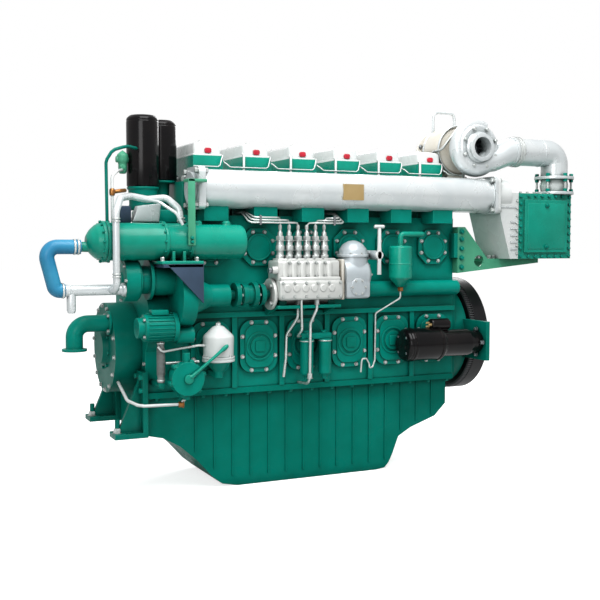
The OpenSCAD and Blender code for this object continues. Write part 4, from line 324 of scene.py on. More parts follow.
def fit(piece: Object, finish: Finish, body: str = ENGINE, replaces: str = "") -> Object:
    """Finish a piece, hang it on its body and hide the construction node that it stands for.

    Args:
        piece: Mesh object with its place in its mesh.
        finish: Finish of the whole piece.
        body: Body that carries it.
        replaces: Construction node that it stands for.

    Returns:
        The same object.
    """
    piece.data.materials.clear()
    piece.data.materials.append(finish.material())
    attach(piece, body)
    if replaces:
        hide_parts(replaces)
    LOG.info("%s: %d faces, %s", piece.name, len(piece.data.polygons), finish.name)
    return piece


# ---------------------------------------------------------------- mesh work


class Axis(Enum):
    """Way that a turned or extruded form runs."""

    X = 0
    Y = 1
    Z = 2

    def point(self, along: float, u: float, v: float) -> Vector:
        """Give the point at a distance along the way and (u, v) across it, in the frame's order."""
        return Vector({0: (along, u, v), 1: (u, along, v), 2: (u, v, along)}[self.value])


X, Y, Z = Axis


def arc(centre: Pair, radius: float, first: float, last: float, steps: int) -> Outline:
    """Give points on an arc.

    Args:
        centre: Centre in the plane.
        radius: Radius in mm.
        first: First angle in degrees.
        last: Last angle in degrees.
        steps: Number of spans.

    Returns:
        Points from the first angle to the last.
    """
    angles = [math.radians(first + (last - first) * k / steps) for k in range(steps + 1)]
    return [(centre[0] + radius * math.cos(a), centre[1] + radius * math.sin(a)) for a in angles]


def round_rect(half_u: float, half_v: float, radius: float, centre: Pair = (0, 0), steps: int = 5) -> Outline:
    """Give a rectangle with round corners.

    Args:
        half_u: Half width.
        half_v: Half height.
        radius: Corner radius.
        centre: Middle of the rectangle.
        steps: Spans in each corner.

    Returns:
        The closed outline.
    """
    u, v = half_u - radius, half_v - radius
    corners = ((u, v, 0), (-u, v, 90), (-u, -v, 180), (u, -v, 270))
    return [p for cu, cv, a in corners for p in arc((centre[0] + cu, centre[1] + cv), radius, a, a + 90, steps)]


def eased(points: Outline, radius: float, steps: int = 2) -> Outline:
    """Round the inner corners of an open lathe profile.

    Args:
        points: Profile of (along, radius).
        radius: Size of the rounding.
        steps: Spans in each rounding.

    Returns:
        The rounded profile.
    """
    out = [points[0]]
    for before, at, after in zip(points, points[1:], points[2:]):
        b, p, a = (Vector(q) for q in (before, at, after))
        reach = min(radius, (b - p).length * 0.45, (a - p).length * 0.45)
        if reach < 0.05:
            out.append(at)
            continue
        start, end = p + (b - p).normalized() * reach, p + (a - p).normalized() * reach
        for k in range(steps + 1):
            t = k / steps
            out.append(tuple(start * (1 - t) ** 2 + p * 2 * t * (1 - t) + end * t * t))
    return out + [points[-1]]


def bent(path: list[Point], radius: float, steps: int = 6) -> list[Vector]:
    """Round the corners of a path.

    Args:
        path: Corner points in mm.
        radius: Bend radius, made smaller where the legs are short.
        steps: Spans in each bend.

    Returns:
        Points along the rounded path.
    """
    points = [Vector(p) for p in path]
    out = [points[0]]
    for b, p, a in zip(points, points[1:], points[2:]):
        to_b, to_a = (b - p).normalized(), (a - p).normalized()
        half = math.acos(max(-1, min(1, to_b.dot(to_a)))) / 2
        if half > 1.55:
            out.append(p)
            continue
        reach = min(radius / max(math.tan(half), 1e-3), (b - p).length * 0.49, (a - p).length * 0.49)
        start, end = p + to_b * reach, p + to_a * reach
        centre = p + (to_b + to_a).normalized() * (reach / math.cos(half))
        spread = (start - centre).angle(end - centre)
        for k in range(steps + 1):
            first = math.sin(spread * (1 - k / steps)) / math.sin(spread)
            out.append(centre + (start - centre) * first
                       + (end - centre) * math.sin(spread * k / steps) / math.sin(spread))
    return out + [points[-1]]


class Shape:
    """A mesh under construction, in millimetres."""

    def __init__(self) -> None:
        """Start an empty mesh."""
        self.bm = bmesh.new()

    def _span(self, first: list, second: list) -> None:
        """Join two rings of vertices with faces.

        Args:
            first: Ring of vertices, or a single one for a pole.
            second: The next ring or pole.
        """
        count = max(len(first), len(second))
        for i in range(count):
            j = (i + 1) % count
            corners = [first[i % len(first)], first[j % len(first)], second[j % len(second)], second[i % len(second)]]
            single = list(dict.fromkeys(corners))
            if len(single) > 2:
                self.bm.faces.new(single)

    def turned(self, axis: Axis, centre: Point, profile: Outline, ease: float, steps: int,
               closed: bool = False) -> "Shape":
        """Add a lathe form.

        Args:
            axis: Axis of the lathe.
            centre: Point on the axis from which the profile is measured.
            profile: Points of (along, radius).
            ease: Rounding of the profile's inner corners.
            steps: Spans round the axis.
            closed: Whether the profile is a closed loop, such as a pipe's wall.

        Returns:
            This shape.
        """
        middle, loops = Vector(centre), []
        for along, radius in eased(profile, ease):
            turns = [2 * math.pi * k / steps for k in range(steps if radius > 1e-4 else 1)]
            loops.append([self.bm.verts.new(middle + axis.point(along, radius * math.cos(t), radius * math.sin(t)))
                          for t in turns])
        for first, second in pairwise(loops + loops[:1] if closed else loops):
            self._span(first, second)
        if not closed:
            for loop in (loops[0], loops[-1]):
                if len(loop) > 1:
                    self.bm.faces.new(loop)
        return self

    def rod(self, axis: Axis, centre: Point, low: float, high: float, radius: float, ease: float,
            steps: int) -> "Shape":
        """Add a round bar between two distances from the centre, its end edges eased."""
        return self.turned(axis, centre, [(low, 0), (low, radius), (high, radius), (high, 0)], ease, steps)

    def collar(self, axis: Axis, centre: Point, low: float, high: float, inner: float, outer: float, ease: float,
               steps: int) -> "Shape":
        """Add a ring of square section, such as a flange, its outer edges eased."""
        section = [(low, inner), (low, outer), (high, outer), (high, inner)]
        return self.turned(axis, centre, section, ease, steps, True)

    def lofted(self, loops: list[list[Vector]]) -> "Shape":
        """Add a closed form through a row of loops.

        Args:
            loops: Rings of points in mm, all of the same count; the first and last are capped.

        Returns:
            This shape.
        """
        made = [[self.bm.verts.new(p) for p in loop] for loop in loops]
        for first, second in pairwise(made):
            self._span(first, second)
        self.bm.faces.new(made[0])
        self.bm.faces.new(made[-1])
        return self

    def prism(self, axis: Axis, outline: Outline, low: float, high: float, soft: float = 0.0) -> "Shape":
        """Add an extruded outline, with its end edges eased.

        Args:
            axis: Way of extrusion.
            outline: Closed outline across the axis.
            low: Where it starts.
            high: Where it ends.
            soft: Easing of the end edges in mm.

        Returns:
            This shape.
        """
        us, vs = [u for u, _ in outline], [v for _, v in outline]
        mid_u, mid_v = (min(us) + max(us)) / 2, (min(vs) + max(vs)) / 2
        half_u, half_v = max(us) - mid_u, max(vs) - mid_v
        turn = 0.3 * soft
        levels = [(low, soft), (low + turn, turn), (low + soft, 0), (high - soft, 0), (high - turn, turn),
                  (high, soft)]
        if not soft:
            levels = [(low, 0), (high, 0)]
        loops = []
        for along, inset in levels:
            su, sv = 1 - inset / half_u, 1 - inset / half_v
            loops.append([axis.point(along, mid_u + (u - mid_u) * su, mid_v + (v - mid_v) * sv) for u, v in outline])
        return self.lofted(loops)

    def block(self, low: Point, high: Point, soft: float = 3.0, axis: Axis = Z) -> "Shape":
        """Add a block with rounded edges.

        Args:
            low: Lowest corner.
            high: Highest corner.
            soft: Edge radius.
            axis: Way of its end faces.

        Returns:
            This shape.
        """
        keep = [i for i in range(3) if i != axis.value]
        centre = tuple((low[i] + high[i]) / 2 for i in keep)
        half = [(high[i] - low[i]) / 2 for i in keep]
        outline = round_rect(half[0], half[1], min(soft, half[0] * 0.9, half[1] * 0.9), centre, 3)
        return self.prism(axis, outline, low[axis.value], high[axis.value],
                          min(soft, (high[axis.value] - low[axis.value]) / 3))

    def swept(self, path: list[Vector], radius: float | list[float], sides: int = 20) -> "Shape":
        """Add a capped tube along a path.

        Args:
            path: Points along the middle.
            radius: One radius, or one for each point.
            sides: Sides of the tube.

        Returns:
            This shape.
        """
        radii = radius if isinstance(radius, list) else [radius] * len(path)
        heading = (path[1] - path[0]).normalized()
        side = heading.orthogonal().normalized()
        turns = [2 * math.pi * k / sides for k in range(sides)]
        loops = []
        for i, p in enumerate(path):
            ahead = (path[min(i + 1, len(path) - 1)] - path[max(i - 1, 0)]).normalized()
            side = (side - ahead * side.dot(ahead)).normalized()
            other = ahead.cross(side)
            loops.append([p + radii[i] * (side * math.cos(t) + other * math.sin(t)) for t in turns])
        return self.lofted(loops)

    def piece(self, name: str, finish: Finish, body: str = ENGINE, replaces: str = "", sharp: float = 34) -> Object:
        """Make the object of this shape and fit it.

        Args:
            name: Name of the piece.
            finish: Finish of the piece.
            body: Body that carries it.
            replaces: Construction node that it stands for.
            sharp: Angle over which an edge stays sharp, in degrees.

        Returns:
            The fitted object.
        """
        bmesh.ops.recalc_face_normals(self.bm, faces=self.bm.faces)
        mesh = bpy.data.meshes.new(name)
        self.bm.to_mesh(mesh)
        self.bm.free()
        mesh.transform(Matrix.Scale(MM, 4))
        mesh.shade_smooth()
        mesh.set_sharp_from_angle(angle=math.radians(sharp))
        return fit(linked(name, mesh), finish, body, replaces)


# ---------------------------------------------------------------- geometry node trees


class Tree:
    """A geometry node tree with named inputs, and the means to run it."""

    def __init__(self, name: str, inputs: dict[str, float]) -> None:
        """Start a tree.

        Args:
            name: Name of the tree.
            inputs: Its sizes in millimetres or counts, and their usual values.
        """
        self.tree = bpy.data.node_groups.new(name, "GeometryNodeTree")
        face = self.tree.interface
        face.new_socket("Geometry", in_out="INPUT", socket_type="NodeSocketGeometry")
        face.new_socket("Geometry", in_out="OUTPUT", socket_type="NodeSocketGeometry")
        self.keys = {"Finish": face.new_socket("Finish", in_out="INPUT", socket_type="NodeSocketMaterial").identifier}
        for key, value in inputs.items():
            kind = "NodeSocketInt" if isinstance(value, int) else "NodeSocketFloat"
            socket = face.new_socket(key, in_out="INPUT", socket_type=kind)
            socket.default_value = value
            self.keys[key] = socket.identifier
        self.input = self.tree.nodes.new("NodeGroupInput")

    def add(self, kind: str, inputs: dict | None = None, **settings: object) -> bpy.types.Node:
        """Add one node of this tree and give it."""
        return add(self.tree, kind, inputs, **settings)

    def given(self, name: str) -> Socket:
        """Give the socket of a named input."""
        return self.input.outputs[name]

    def scattered(self, shape: Socket, turned: bool = True) -> Socket:
        """Put a shape on every point that the tree gets.

        Args:
            shape: Geometry to repeat.
            turned: Whether each copy stands along its point's "out".

        Returns:
            The copies.
        """
        points = self.add("GeometryNodeMeshToPoints", {"Mesh": self.given("Geometry")})
        inputs = {"Points": points.outputs[0], "Instance": shape}
        if turned:
            way = self.add("GeometryNodeInputNamedAttribute", {"Name": "out"}, data_type="FLOAT_VECTOR")
            turn = self.add("FunctionNodeAlignRotationToVector", {"Vector": way.outputs[0]}, axis="Z")
            inputs["Rotation"] = turn.outputs[0]
        return self.add("GeometryNodeInstanceOnPoints", inputs).outputs[0]

    def joined(self, shapes: list[Socket]) -> Socket:
        """Join several shapes into one.

        Args:
            shapes: Geometry sockets.

        Returns:
            The joined geometry.
        """
        join = self.add("GeometryNodeJoinGeometry")
        for shape in shapes:
            self.tree.links.new(shape, join.inputs[0])
        return join.outputs[0]

    def scaled(self, name: str, factor: float = MM) -> Socket:
        """Give a named size times a factor, by default from millimetres to metres."""
        return self.add("ShaderNodeMath", {0: self.given(name), 1: factor}, operation="MULTIPLY").outputs[0]

    def end(self, geometry: Socket, smooth: bool = True) -> "Tree":
        """Close the tree with real geometry, its shading and its finish.

        Args:
            geometry: What the tree made.
            smooth: Whether its faces are shaded smooth.

        Returns:
            This tree.
        """
        real = self.add("GeometryNodeRealizeInstances", {0: geometry})
        shaded = self.add("GeometryNodeSetShadeSmooth", {"Geometry": real.outputs[0], "Shade Smooth": smooth})
        dressed = self.add("GeometryNodeSetMaterial",
                           {"Geometry": shaded.outputs[0], "Material": self.given("Finish")})
        self.add("NodeGroupOutput", {0: dressed.outputs[0]})
        return self

    def run(self, name: str, places: list[Point], ways: list[Point], finish: Finish, body: str = ENGINE,
            replaces: str = "", lines: list[int] | None = None, **sizes: float) -> Object:
        """Run the tree on points or lines and keep the result as a plain mesh.

        Args:
            name: Name of the piece.
            places: Points in mm.
            ways: Direction of each point, stored as the attribute "out".
            finish: Finish of the piece.
            body: Body that carries it.
            replaces: Construction node that it stands for.
            lines: Number of points in each line, or none for loose points.
            sizes: Inputs of the tree by name with underscores for spaces.

        Returns:
            The fitted object.
        """
        edges, start = [], 0
        for count in lines or []:
            edges += [(start + k, start + k + 1) for k in range(count - 1)]
            start += count
        mesh = bpy.data.meshes.new(name)
        mesh.from_pydata([Vector(p) * MM for p in places], edges, [])
        out = mesh.attributes.new("out", "FLOAT_VECTOR", "POINT")
        out.data.foreach_set("vector", [c for way in (ways or [(0, 0, 1)] * len(places)) for c in way])
        carrier = linked(name + ".lay", mesh)
        modifier = carrier.modifiers.new(self.tree.name, "NODES")
        modifier.node_group = self.tree
        modifier[self.keys["Finish"]] = finish.material()
        for key, value in sizes.items():
            modifier[self.keys[key.replace("_", " ")]] = value
        made = bpy.data.meshes.new_from_object(carrier.evaluated_get(bpy.context.evaluated_depsgraph_get()))
        carrier.modifiers.clear()
        bpy.data.objects.remove(carrier)
        return fit(linked(name, made), finish, body, replaces)


def fastener_tree() -> Tree:
    """Make the tree of hexagon heads with washers, one on each point, standing along its "out".

    Returns:
        The tree.
    """
    tree = Tree("hexagon heads", {"Across": 20.0, "Height": 10.0, "Washer": 26.0})
    radius, height, washer = tree.scaled("Across", MM / 2), tree.scaled("Height"), tree.scaled("Washer", MM / 2)
    shank = tree.add("GeometryNodeMeshCylinder", {"Vertices": 6, "Radius": radius, "Depth": height})
    crown = tree.add("GeometryNodeMeshCone", {"Vertices": 6, "Radius Bottom": radius,
                                              "Depth": tree.scaled("Height", MM / 5),
                                              "Radius Top": tree.scaled("Across", MM * 0.4)})
    plate = tree.add("GeometryNodeMeshCylinder", {"Vertices": 14, "Radius": washer, "Depth": 2.4 * MM})
    half = tree.add("ShaderNodeMath", {0: height, 1: 0.5}, operation="MULTIPLY").outputs[0]
    parts = []
    for node, rise in ((shank, half), (crown, height), (plate, 0.0)):
        lift = tree.add("ShaderNodeCombineXYZ", {"Z": rise})
        moved = tree.add("GeometryNodeTransform", {"Geometry": node.outputs[0], "Translation": lift.outputs[0]})
        parts.append(moved.outputs[0])
    return tree.end(tree.scattered(tree.joined(parts)), smooth=False)


def pipe_tree() -> Tree:
    """Make the tree of bent tubes along lines, each corner cut back to the bend radius by one chamfer.

    Returns:
        The tree.
    """
    tree = Tree("bent tubes", {"Diameter": 10.0, "Bend": 20.0, "Sides": 12})
    curve = tree.add("GeometryNodeMeshToCurve", {"Mesh": tree.given("Geometry")})
    bend = tree.add("GeometryNodeFilletCurve",
                    {"Curve": curve.outputs[0], "Radius": tree.scaled("Bend"), "Count": 1, "Limit Radius": True},
                    mode="POLY")
    section = tree.add("GeometryNodeCurvePrimitiveCircle",
                       {"Resolution": tree.given("Sides"), "Radius": tree.scaled("Diameter", MM / 2)})
    tube = tree.add("GeometryNodeCurveToMesh",
                    {"Curve": bend.outputs[0], "Profile Curve": section.outputs[0], "Fill Caps": True})
    return tree.end(tube.outputs[0])


def ring_tree() -> Tree:
    """Make the tree of round rings, one on each point round its "out": ribs, clamps and weld beads.

    Returns:
        The tree.
    """
    tree = Tree("round rings", {"Diameter": 40.0, "Thickness": 5.0, "Width": 5.0})
    hoop, section = (
        tree.add("GeometryNodeCurvePrimitiveCircle", {"Resolution": n, "Radius": tree.scaled(size, MM / 2)})
        for n, size in ((40, "Diameter"), (8, "Thickness")))
    flat = tree.add("ShaderNodeMath", {0: tree.given("Width"), 1: tree.given("Thickness")}, operation="DIVIDE")
    stretch = tree.add("ShaderNodeCombineXYZ", {"X": 1.0, "Y": flat.outputs[0], "Z": 1.0})
    oval = tree.add("GeometryNodeTransform", {"Geometry": section.outputs[0], "Scale": stretch.outputs[0]})
    band = tree.add("GeometryNodeCurveToMesh", {"Curve": hoop.outputs[0], "Profile Curve": oval.outputs[0]})
    return tree.end(tree.scattered(band.outputs[0]))


def bar_tree() -> Tree:
    """Make the tree of small eased bars, one on each point: louvres, clamps and clips.

    Returns:
        The tree.
    """
    tree = Tree("eased bars", {"Along X": 10.0, "Along Y": 10.0, "Along Z": 10.0})
    size = tree.add("ShaderNodeCombineXYZ", {k: tree.scaled("Along " + way) for k, way in enumerate("XYZ")})
    # The hull of three crossed boxes is a box with eased edges
    boxes = []
    for factor in ((1.0, 0.82, 0.94), (0.94, 1.0, 0.86), (0.86, 0.9, 1.0)):
        cut = tree.add("ShaderNodeVectorMath", {0: size.outputs[0], 1: factor}, operation="MULTIPLY")
        boxes.append(tree.add("GeometryNodeMeshCube", {"Size": cut.outputs[0]}).outputs[0])
    hull = tree.add("GeometryNodeConvexHull", {"Geometry": tree.joined(boxes)})
    return tree.end(tree.scattered(hull.outputs[0], turned=False), smooth=False)


BOLTS, PIPES, RINGS, BARS = fastener_tree(), pipe_tree(), ring_tree(), bar_tree()
LEFT, RIGHT, NEAR, FAR, DOWN, UP = (-1, 0, 0), (1, 0, 0), (0, -1, 0), (0, 1, 0), (0, 0, -1), (0, 0, 1)


def circle_of(axis: Axis, centre: Point, radius: float, count: int, start: float = 0.0) -> list[Point]:
    """Give points on a circle, such as a bolt circle.

    Args:
        axis: Axis of the circle.
        centre: Centre in mm.
        radius: Radius in mm.
        count: Number of points.
        start: First angle in degrees.

    Returns:
        The points.
    """
    turns = [math.radians(start + 360 * k / count) for k in range(count)]
    return [tuple(Vector(centre) + axis.point(0, radius * math.cos(t), radius * math.sin(t))) for t in turns]


def bolts(name: str, places: list[Point], way: Point, finish: Finish = ZINC, across: float = 20, height: float = 10,
          body: str = ENGINE, replaces: str = "") -> Object:
    """Set hexagon heads on points that all face one way.

    Args:
        name: Name of the piece.
        places: Seats of the heads in mm.
        way: Way they stand.
        finish: Finish of the heads.
        across: Size across the corners.
        height: Height of the head.
        body: Body that carries them.
        replaces: Construction node that they stand for.

    Returns:
        The fitted object.
    """
    return BOLTS.run(name, places, [way] * len(places), finish, body, replaces, Across=float(across),
                     Height=float(height), Washer=across * 1.25)


def tubes(name: str, paths: list[list[Point]], diameter: float, bend: float, finish: Finish, body: str = ENGINE,
          replaces: str = "", sides: int = 12) -> Object:
    """Lay bent tubes along paths.

    Args:
        name: Name of the piece.
        paths: Corner points of each tube in mm.
        diameter: Outside diameter.
        bend: Bend radius of the middle line.
        finish: Finish of the tubes.
        body: Body that carries them.
        replaces: Construction node that they stand for.
        sides: Sides of the tube.

    Returns:
        The fitted object.
    """
    return PIPES.run(name, [p for path in paths for p in path], [], finish, body, replaces, [len(p) for p in paths],
                     Diameter=float(diameter), Bend=float(bend), Sides=sides)


def rings(name: str, places: list[Point], way: Point, diameter: float, thickness: float, width: float, finish: Finish,
          body: str = ENGINE, replaces: str = "") -> Object:
    """Set round rings on points that all face one way.

    Args:
        name: Name of the piece.
        places: Centres in mm.
        way: Axis of the rings.
        diameter: Diameter of the middle of the section.
        thickness: Thickness across the ring.
        width: Width along the axis.
        finish: Finish of the rings.
        body: Body that carries them.
        replaces: Construction node that they stand for.

    Returns:
        The fitted object.
    """
    return RINGS.run(name, places, [way] * len(places), finish, body, replaces, Diameter=float(diameter),
                     Thickness=float(thickness), Width=float(width))


def bars(name: str, places: list[Point], size: Point, finish: Finish, body: str = ENGINE) -> Object:
    """Set equal eased bars on points.

    Args:
        name: Name of the piece.
        places: Centres in mm.
        size: Size along X, Y and Z.
        finish: Finish of the bars.
        body: Body that carries them.

    Returns:
        The fitted object.
    """
    return BARS.run(name, places, [], finish, body, "", Along_X=float(size[0]), Along_Y=float(size[1]),
                    Along_Z=float(size[2]))


# ---------------------------------------------------------------- sub-assemblies


@dataclass
class Crankcase:
    """Cast crankcase with its doors, cam covers, pan and their fasteners."""

    side: float = 300.0
    door_z: float = 5.0
    door_half: Pair = (86.0, 116.0)
    cam_cover_z: float = 488.0
    cam_bolt_radius: float = 79.0

    def fasteners(self) -> None:
        """Set the bolts of doors and cam covers on both sides, and of the pan flange."""
        w, h = self.door_half
        spots = [(-1, -0.42), (-1, 0.42), (1, -0.42), (1, 0.42), (-0.45, -1), (0.45, -1), (-0.45, 1), (0.45, 1)]
        near = [(x + a * w, -self.side, self.door_z + b * h) for x in CYLINDERS for a, b in spots]
        for x in CYLINDERS:
            near += circle_of(Y, (x, -self.side, self.cam_cover_z), self.cam_bolt_radius, 8, 22.5)
        far = [(x + a * w, self.side, self.door_z + b * h) for x in CYLINDERS for a, b in spots]
        BOLTS.run("door_and_cover_bolts", near + far, [NEAR] * len(near) + [FAR] * len(far), ZINC, ENGINE,
                  "cover_bolts", Across=17.0, Height=8.0, Washer=21.0)
        pan = [(-1860 + 116 * k, s * 262, -222) for k in range(15) for s in (-1, 1)]
        bolts("pan_flange_bolts", pan, DOWN, TEAL, 24, 12)

    def door_pads(self) -> None:
        """Add the raised ring and the square grip cast on each door and cam cover."""
        shape = Shape()
        for x in CYLINDERS:
            for s in (-1, 1):
                face, lip = s * (self.side + 8), s * (self.side + 16)
                shape.turned(Y, (x, face, self.door_z), [(0, 70), (s * 5, 70), (s * 5, 60), (0, 60)], 2, 40, True)
                low, high = sorted((lip, lip + s * 7))
                shape.prism(Y, round_rect(26, 26, 9, (x, self.door_z)), low, high, 2.5)
            rim = [(0, 66), (-4, 66), (-4, 57), (0, 57)]
            shape.turned(Y, (x, -self.side - 8, self.cam_cover_z), rim, 2, 40, True)
        shape.piece("door_pads", TEAL)

    def far_wall(self) -> None:
        """Add the core plugs, cast ribs and cover strip of the upper wall on the exhaust side."""
        wall, shape = self.side - 20, Shape()
        for x in CYLINDERS:
            shape.turned(Y, (x, wall, 470), [(-2, 0), (-2, 52), (9, 50), (9, 42), (4, 38), (4, 0)], 2, 36)
            shape.turned(Y, (x, wall, 270), [(-2, 0), (-2, 34), (7, 32), (7, 25), (3, 22), (3, 0)], 2, 28)
            shape.block((x - 132, wall - 4, 190), (x - 118, wall + 12, 600), 5, Y)
        shape.block((-1730, wall - 4, 596), (-220, wall + 14, 622), 5, Y)
        shape.piece("exhaust_side_wall", TEAL)
        places = [(x + u, wall + 14, 609) for x in CYLINDERS for u in (-70, 70)]
        bolts("wall_strip_bolts", places, FAR, ZINC, 18, 9)


@dataclass
class HeadRow:
    """Rocker covers, head nuts and the thin pipes along the heads."""

    shift: float = 10.0
    half_w: float = 75.0
    half_d: float = 250.0
    low: float = 926.0
    top: float = 994.0

    def covers(self) -> None:
        """Make the crowned white covers with their joint flange and round nuts."""
        shape, nuts = Shape(), Shape()
        levels = [(0, 0, 16), (6, 0, 16), (8, 1, 16), (9, 6, 20), (46, 7, 22), (57, 10, 24), (64, 19, 26),
                  (68, 36, 24)]
        for x in CYLINDERS:
            middle = x + self.shift
            outlines = [(z, round_rect(self.half_w - inset, self.half_d - inset, r, (middle, 0)))
                        for z, inset, r in levels]
            shape.lofted([[Vector((u, v, self.low + z)) for u, v in outline] for z, outline in outlines])
            for y in (-130, 130):
                nuts.turned(Z, (middle, y, self.top - 2), [(0, 15), (8, 15), (14, 9), (17, 0)], 3, 16)
        shape.piece("rocker_cover_shells", WHITE, replaces="rocker_covers")
        nuts.piece("rocker_cover_nuts", ZINC)

    def tags(self) -> None:
        """Make the plain red disc on the front of each cover."""
        shape = Shape()
        for x in CYLINDERS:
            outline = round_rect(17, 12, 9, (x + self.shift, self.low + 24))
            shape.prism(Y, outline, -self.half_d - 2, -self.half_d + 7, 1)
        shape.piece("red_tags", RED)

    def nuts(self) -> None:
        """Set the head nuts with their studs on both ledges of each head."""
        seats = [(x + u, y, 800) for x in CYLINDERS for u in (-92, 102) for y in (-205, -70, 70, 205)]
        bolts("head_nuts", seats, UP, ZINC, 34, 24)
        shape = Shape()
        for p in seats:
            shape.turned(Z, p, [(20, 8), (36, 8), (38, 5)], 1, 10)
        shape.piece("head_studs", STEEL)

    def pipes(self) -> None:
        """Lay the white risers and the leak-off line along the heads."""
        edges = [x + self.shift - 71 for x in CYLINDERS[1:]]
        risers = [[(x, -262, 836), (x, -262, 934), (x, -244, 940)] for x in edges]
        tubes("white_risers", risers, 12, 6, WHITE)
        rising = ((-80, -270, 872), (52, -270, 872), (64, -266, 912), (78, -240, 930))
        falling = ((78, -240, 902), (92, -268, 884), (104, -270, 872), (170, -270, 872))
        runs = [[(x + self.shift + u, y, z) for u, y, z in run] for x in CYLINDERS for run in (rising, falling)]
        tubes("leak_off_line", runs, 6, 12, WHITE, sides=8)


@dataclass
class ChargeAir:
    """Charge-air pipe, its end flanges and the bare plate on it."""

    y: float = -350.0
    z: float = 761.0
    front: float = -1703.0
    rear: float = -58.0
    lobe: float = 78.0
    radius: float = 91.0
    plate_x: float = -904.0
    plate_rise: float = 3.6

    def joints(self) -> None:
        """Add the bolts of both lobed flanges and the weld beads beside them."""
        corners = [(self.y + a * self.lobe, self.z + b * self.lobe) for a in (-1, 1) for b in (-1, 1)]
        places = [(x, y, z) for y, z in corners for x in (self.front, self.rear)]
        backs = [(x, y, z) for y, z in corners for x in (self.front + 32, self.rear + 32.3)]
        BOLTS.run("charge_pipe_bolts", places + backs, [LEFT] * 8 + [RIGHT] * 8, ZINC, Across=26.0, Height=14.0,
                  Washer=32.0)
        rings("charge_pipe_welds", [(x, self.y, self.z) for x in (-1669, -60)], RIGHT, 182, 9, 9, SILVER)

    def plate_screws(self) -> None:
        """Add the four screws of the bare plate."""
        shape = Shape()
        for u in (-50, 50):
            for v in (-33, 33):
                y = self.y - math.sqrt(self.radius ** 2 - v ** 2) - self.plate_rise
                shape.turned(Y, (self.plate_x + u, y, self.z + v), [(3, 5), (0, 5), (-2, 3), (-2.4, 0)], 1, 12)
        shape.piece("plate_screws", ZINC)


@dataclass
class Turbocharger:
    """Compressor scroll, turbine casing and their clamps, on an axis across the engine."""

    x: float = -125.0
    y: float = -352.0
    z: float = 1012.0
    outer: float = 153.0

    def scroll(self) -> None:
        """Make the compressor scroll, whose section grows round the wheel and leaves at the bottom."""
        shape, path, radii, hub = Shape(), [], [], (self.x, self.y, self.z)
        for k in range(45):
            t = k / 44
            turn = math.radians(62 + 250 * t)
            r = 24 + 34 * t
            reach = self.outer - r
            path.append(Vector((self.x + reach * math.cos(turn), self.y, self.z + reach * math.sin(turn))))
            radii.append(r)
        last = path[-1]
        for t in (0.25, 0.5, 0.75, 1.0):
            ease = t * t * (3 - 2 * t)
            path.append(Vector((last.x + (118 - last.x) * t, self.y, last.z + (1002 - last.z) * ease)))
            radii.append(58 + 15 * ease)
        shape.swept(path, radii, 32)
        shape.turned(Y, hub, [(30, 60), (-34, 60), (-46, 112), (-30, 124), (30, 124)], 6, 64, True)
        mouth = [(-72, 53), (-72, 73), (-60, 75), (-56, 68), (-44, 84), (-30, 84), (-30, 52)]
        shape.turned(Y, hub, mouth, 4, 64, True)
        shape.collar(Y, hub, 40, 60, 14, 125, 3, 64)
        shape.collar(X, (118, self.y, 1002), -16, -1, 60, 79, 2, 48)
        shape.piece("compressor_scroll", SILVER, replaces="compressor_housing")
        bolts("scroll_bolts", circle_of(Y, (self.x, self.y - 46, self.z), 104, 8, 22), NEAR, ZINC, 18, 9)
        bolts("back_plate_bolts", circle_of(Y, (self.x, self.y + 44, self.z), 117, 10, 10), FAR, ZINC, 16, 9)

    def wheel(self) -> None:
        """Make the compressor wheel's curved blades, which ride on the rotor."""
        hub = [(0, 0), (0, 9), (12, 12), (26, 24), (38, 58), (41, 58), (41, 0)]
        shape = Shape().turned(Y, (self.x, self.y, self.z), hub, 3, 32)
        for k in range(12):
            base = 2 * math.pi * k / 12
            outline = ((4, 9), (5, 49), (18, 52), (34, 58), (38, 44), (22, 18))
            shape.lofted([[self._blade(base + side, a, r) for a, r in outline] for side in (-0.03, 0.03)])
        shape.piece("compressor_wheel", STEEL, "turbo_rotor")

    def _blade(self, turn: float, along: float, radius: float) -> Vector:
        """Give a point of a blade, twisted as it runs along the hub."""
        t = turn + along * 0.018
        return Vector((self.x + radius * math.cos(t), self.y + along, self.z + radius * math.sin(t)))

    def turbine(self) -> None:
        """Make the turbine casing with its stepped shoulders, foot, outlet and clamp bands."""
        shell = [(-292, 16), (-292, 66), (-262, 75), (-214, 75), (-206, 96), (-200, 120), (-186, 133), (-60, 135),
                 (-46, 124), (-40, 80), (44, 80), (44, 115), (60, 115), (60, 72), (-30, 72), (-30, 16)]
        shape = Shape().turned(Y, (self.x, 0, self.z), shell, 5, 72, True)
        half = [(75, 842), (75, 862), (54, 872), (60, 940)]
        foot = [(self.x - 75, 842)] + [(self.x + u, z) for u, z in half] + [(self.x - u, z) for u, z in half[:0:-1]]
        shape.prism(Y, foot, -183, -73, 4)
        shape.piece("turbine_casing", CREAM, replaces="turbine_housing")
        rings("turbine_clamp_bands", [(self.x, y, self.z) for y in (-202, -52)], FAR, 268, 8, 16, SILVER)
        bolts("exhaust_flange_bolts", circle_of(Y, (self.x, 44, self.z), 100, 8, 22.5), NEAR, STEEL, 20, 10)
        bolts("turbine_foot_bolts", [(self.x + u, y, 862) for u in (-64, 64) for y in (-170, -86)], UP, STEEL, 18, 10)
        feed = [(self.x, -250, self.z + 72), (self.x, -250, self.z + 112), (self.x - 40, -240, self.z + 112),
                (-260, -240, 1010), (-260, -150, 1004)]
        drain = [(self.x, -245, self.z - 72), (self.x, -245, 850), (-190, -245, 800)]
        tubes("turbo_oil_pipes", [feed, drain], 14, 16, ZINC)


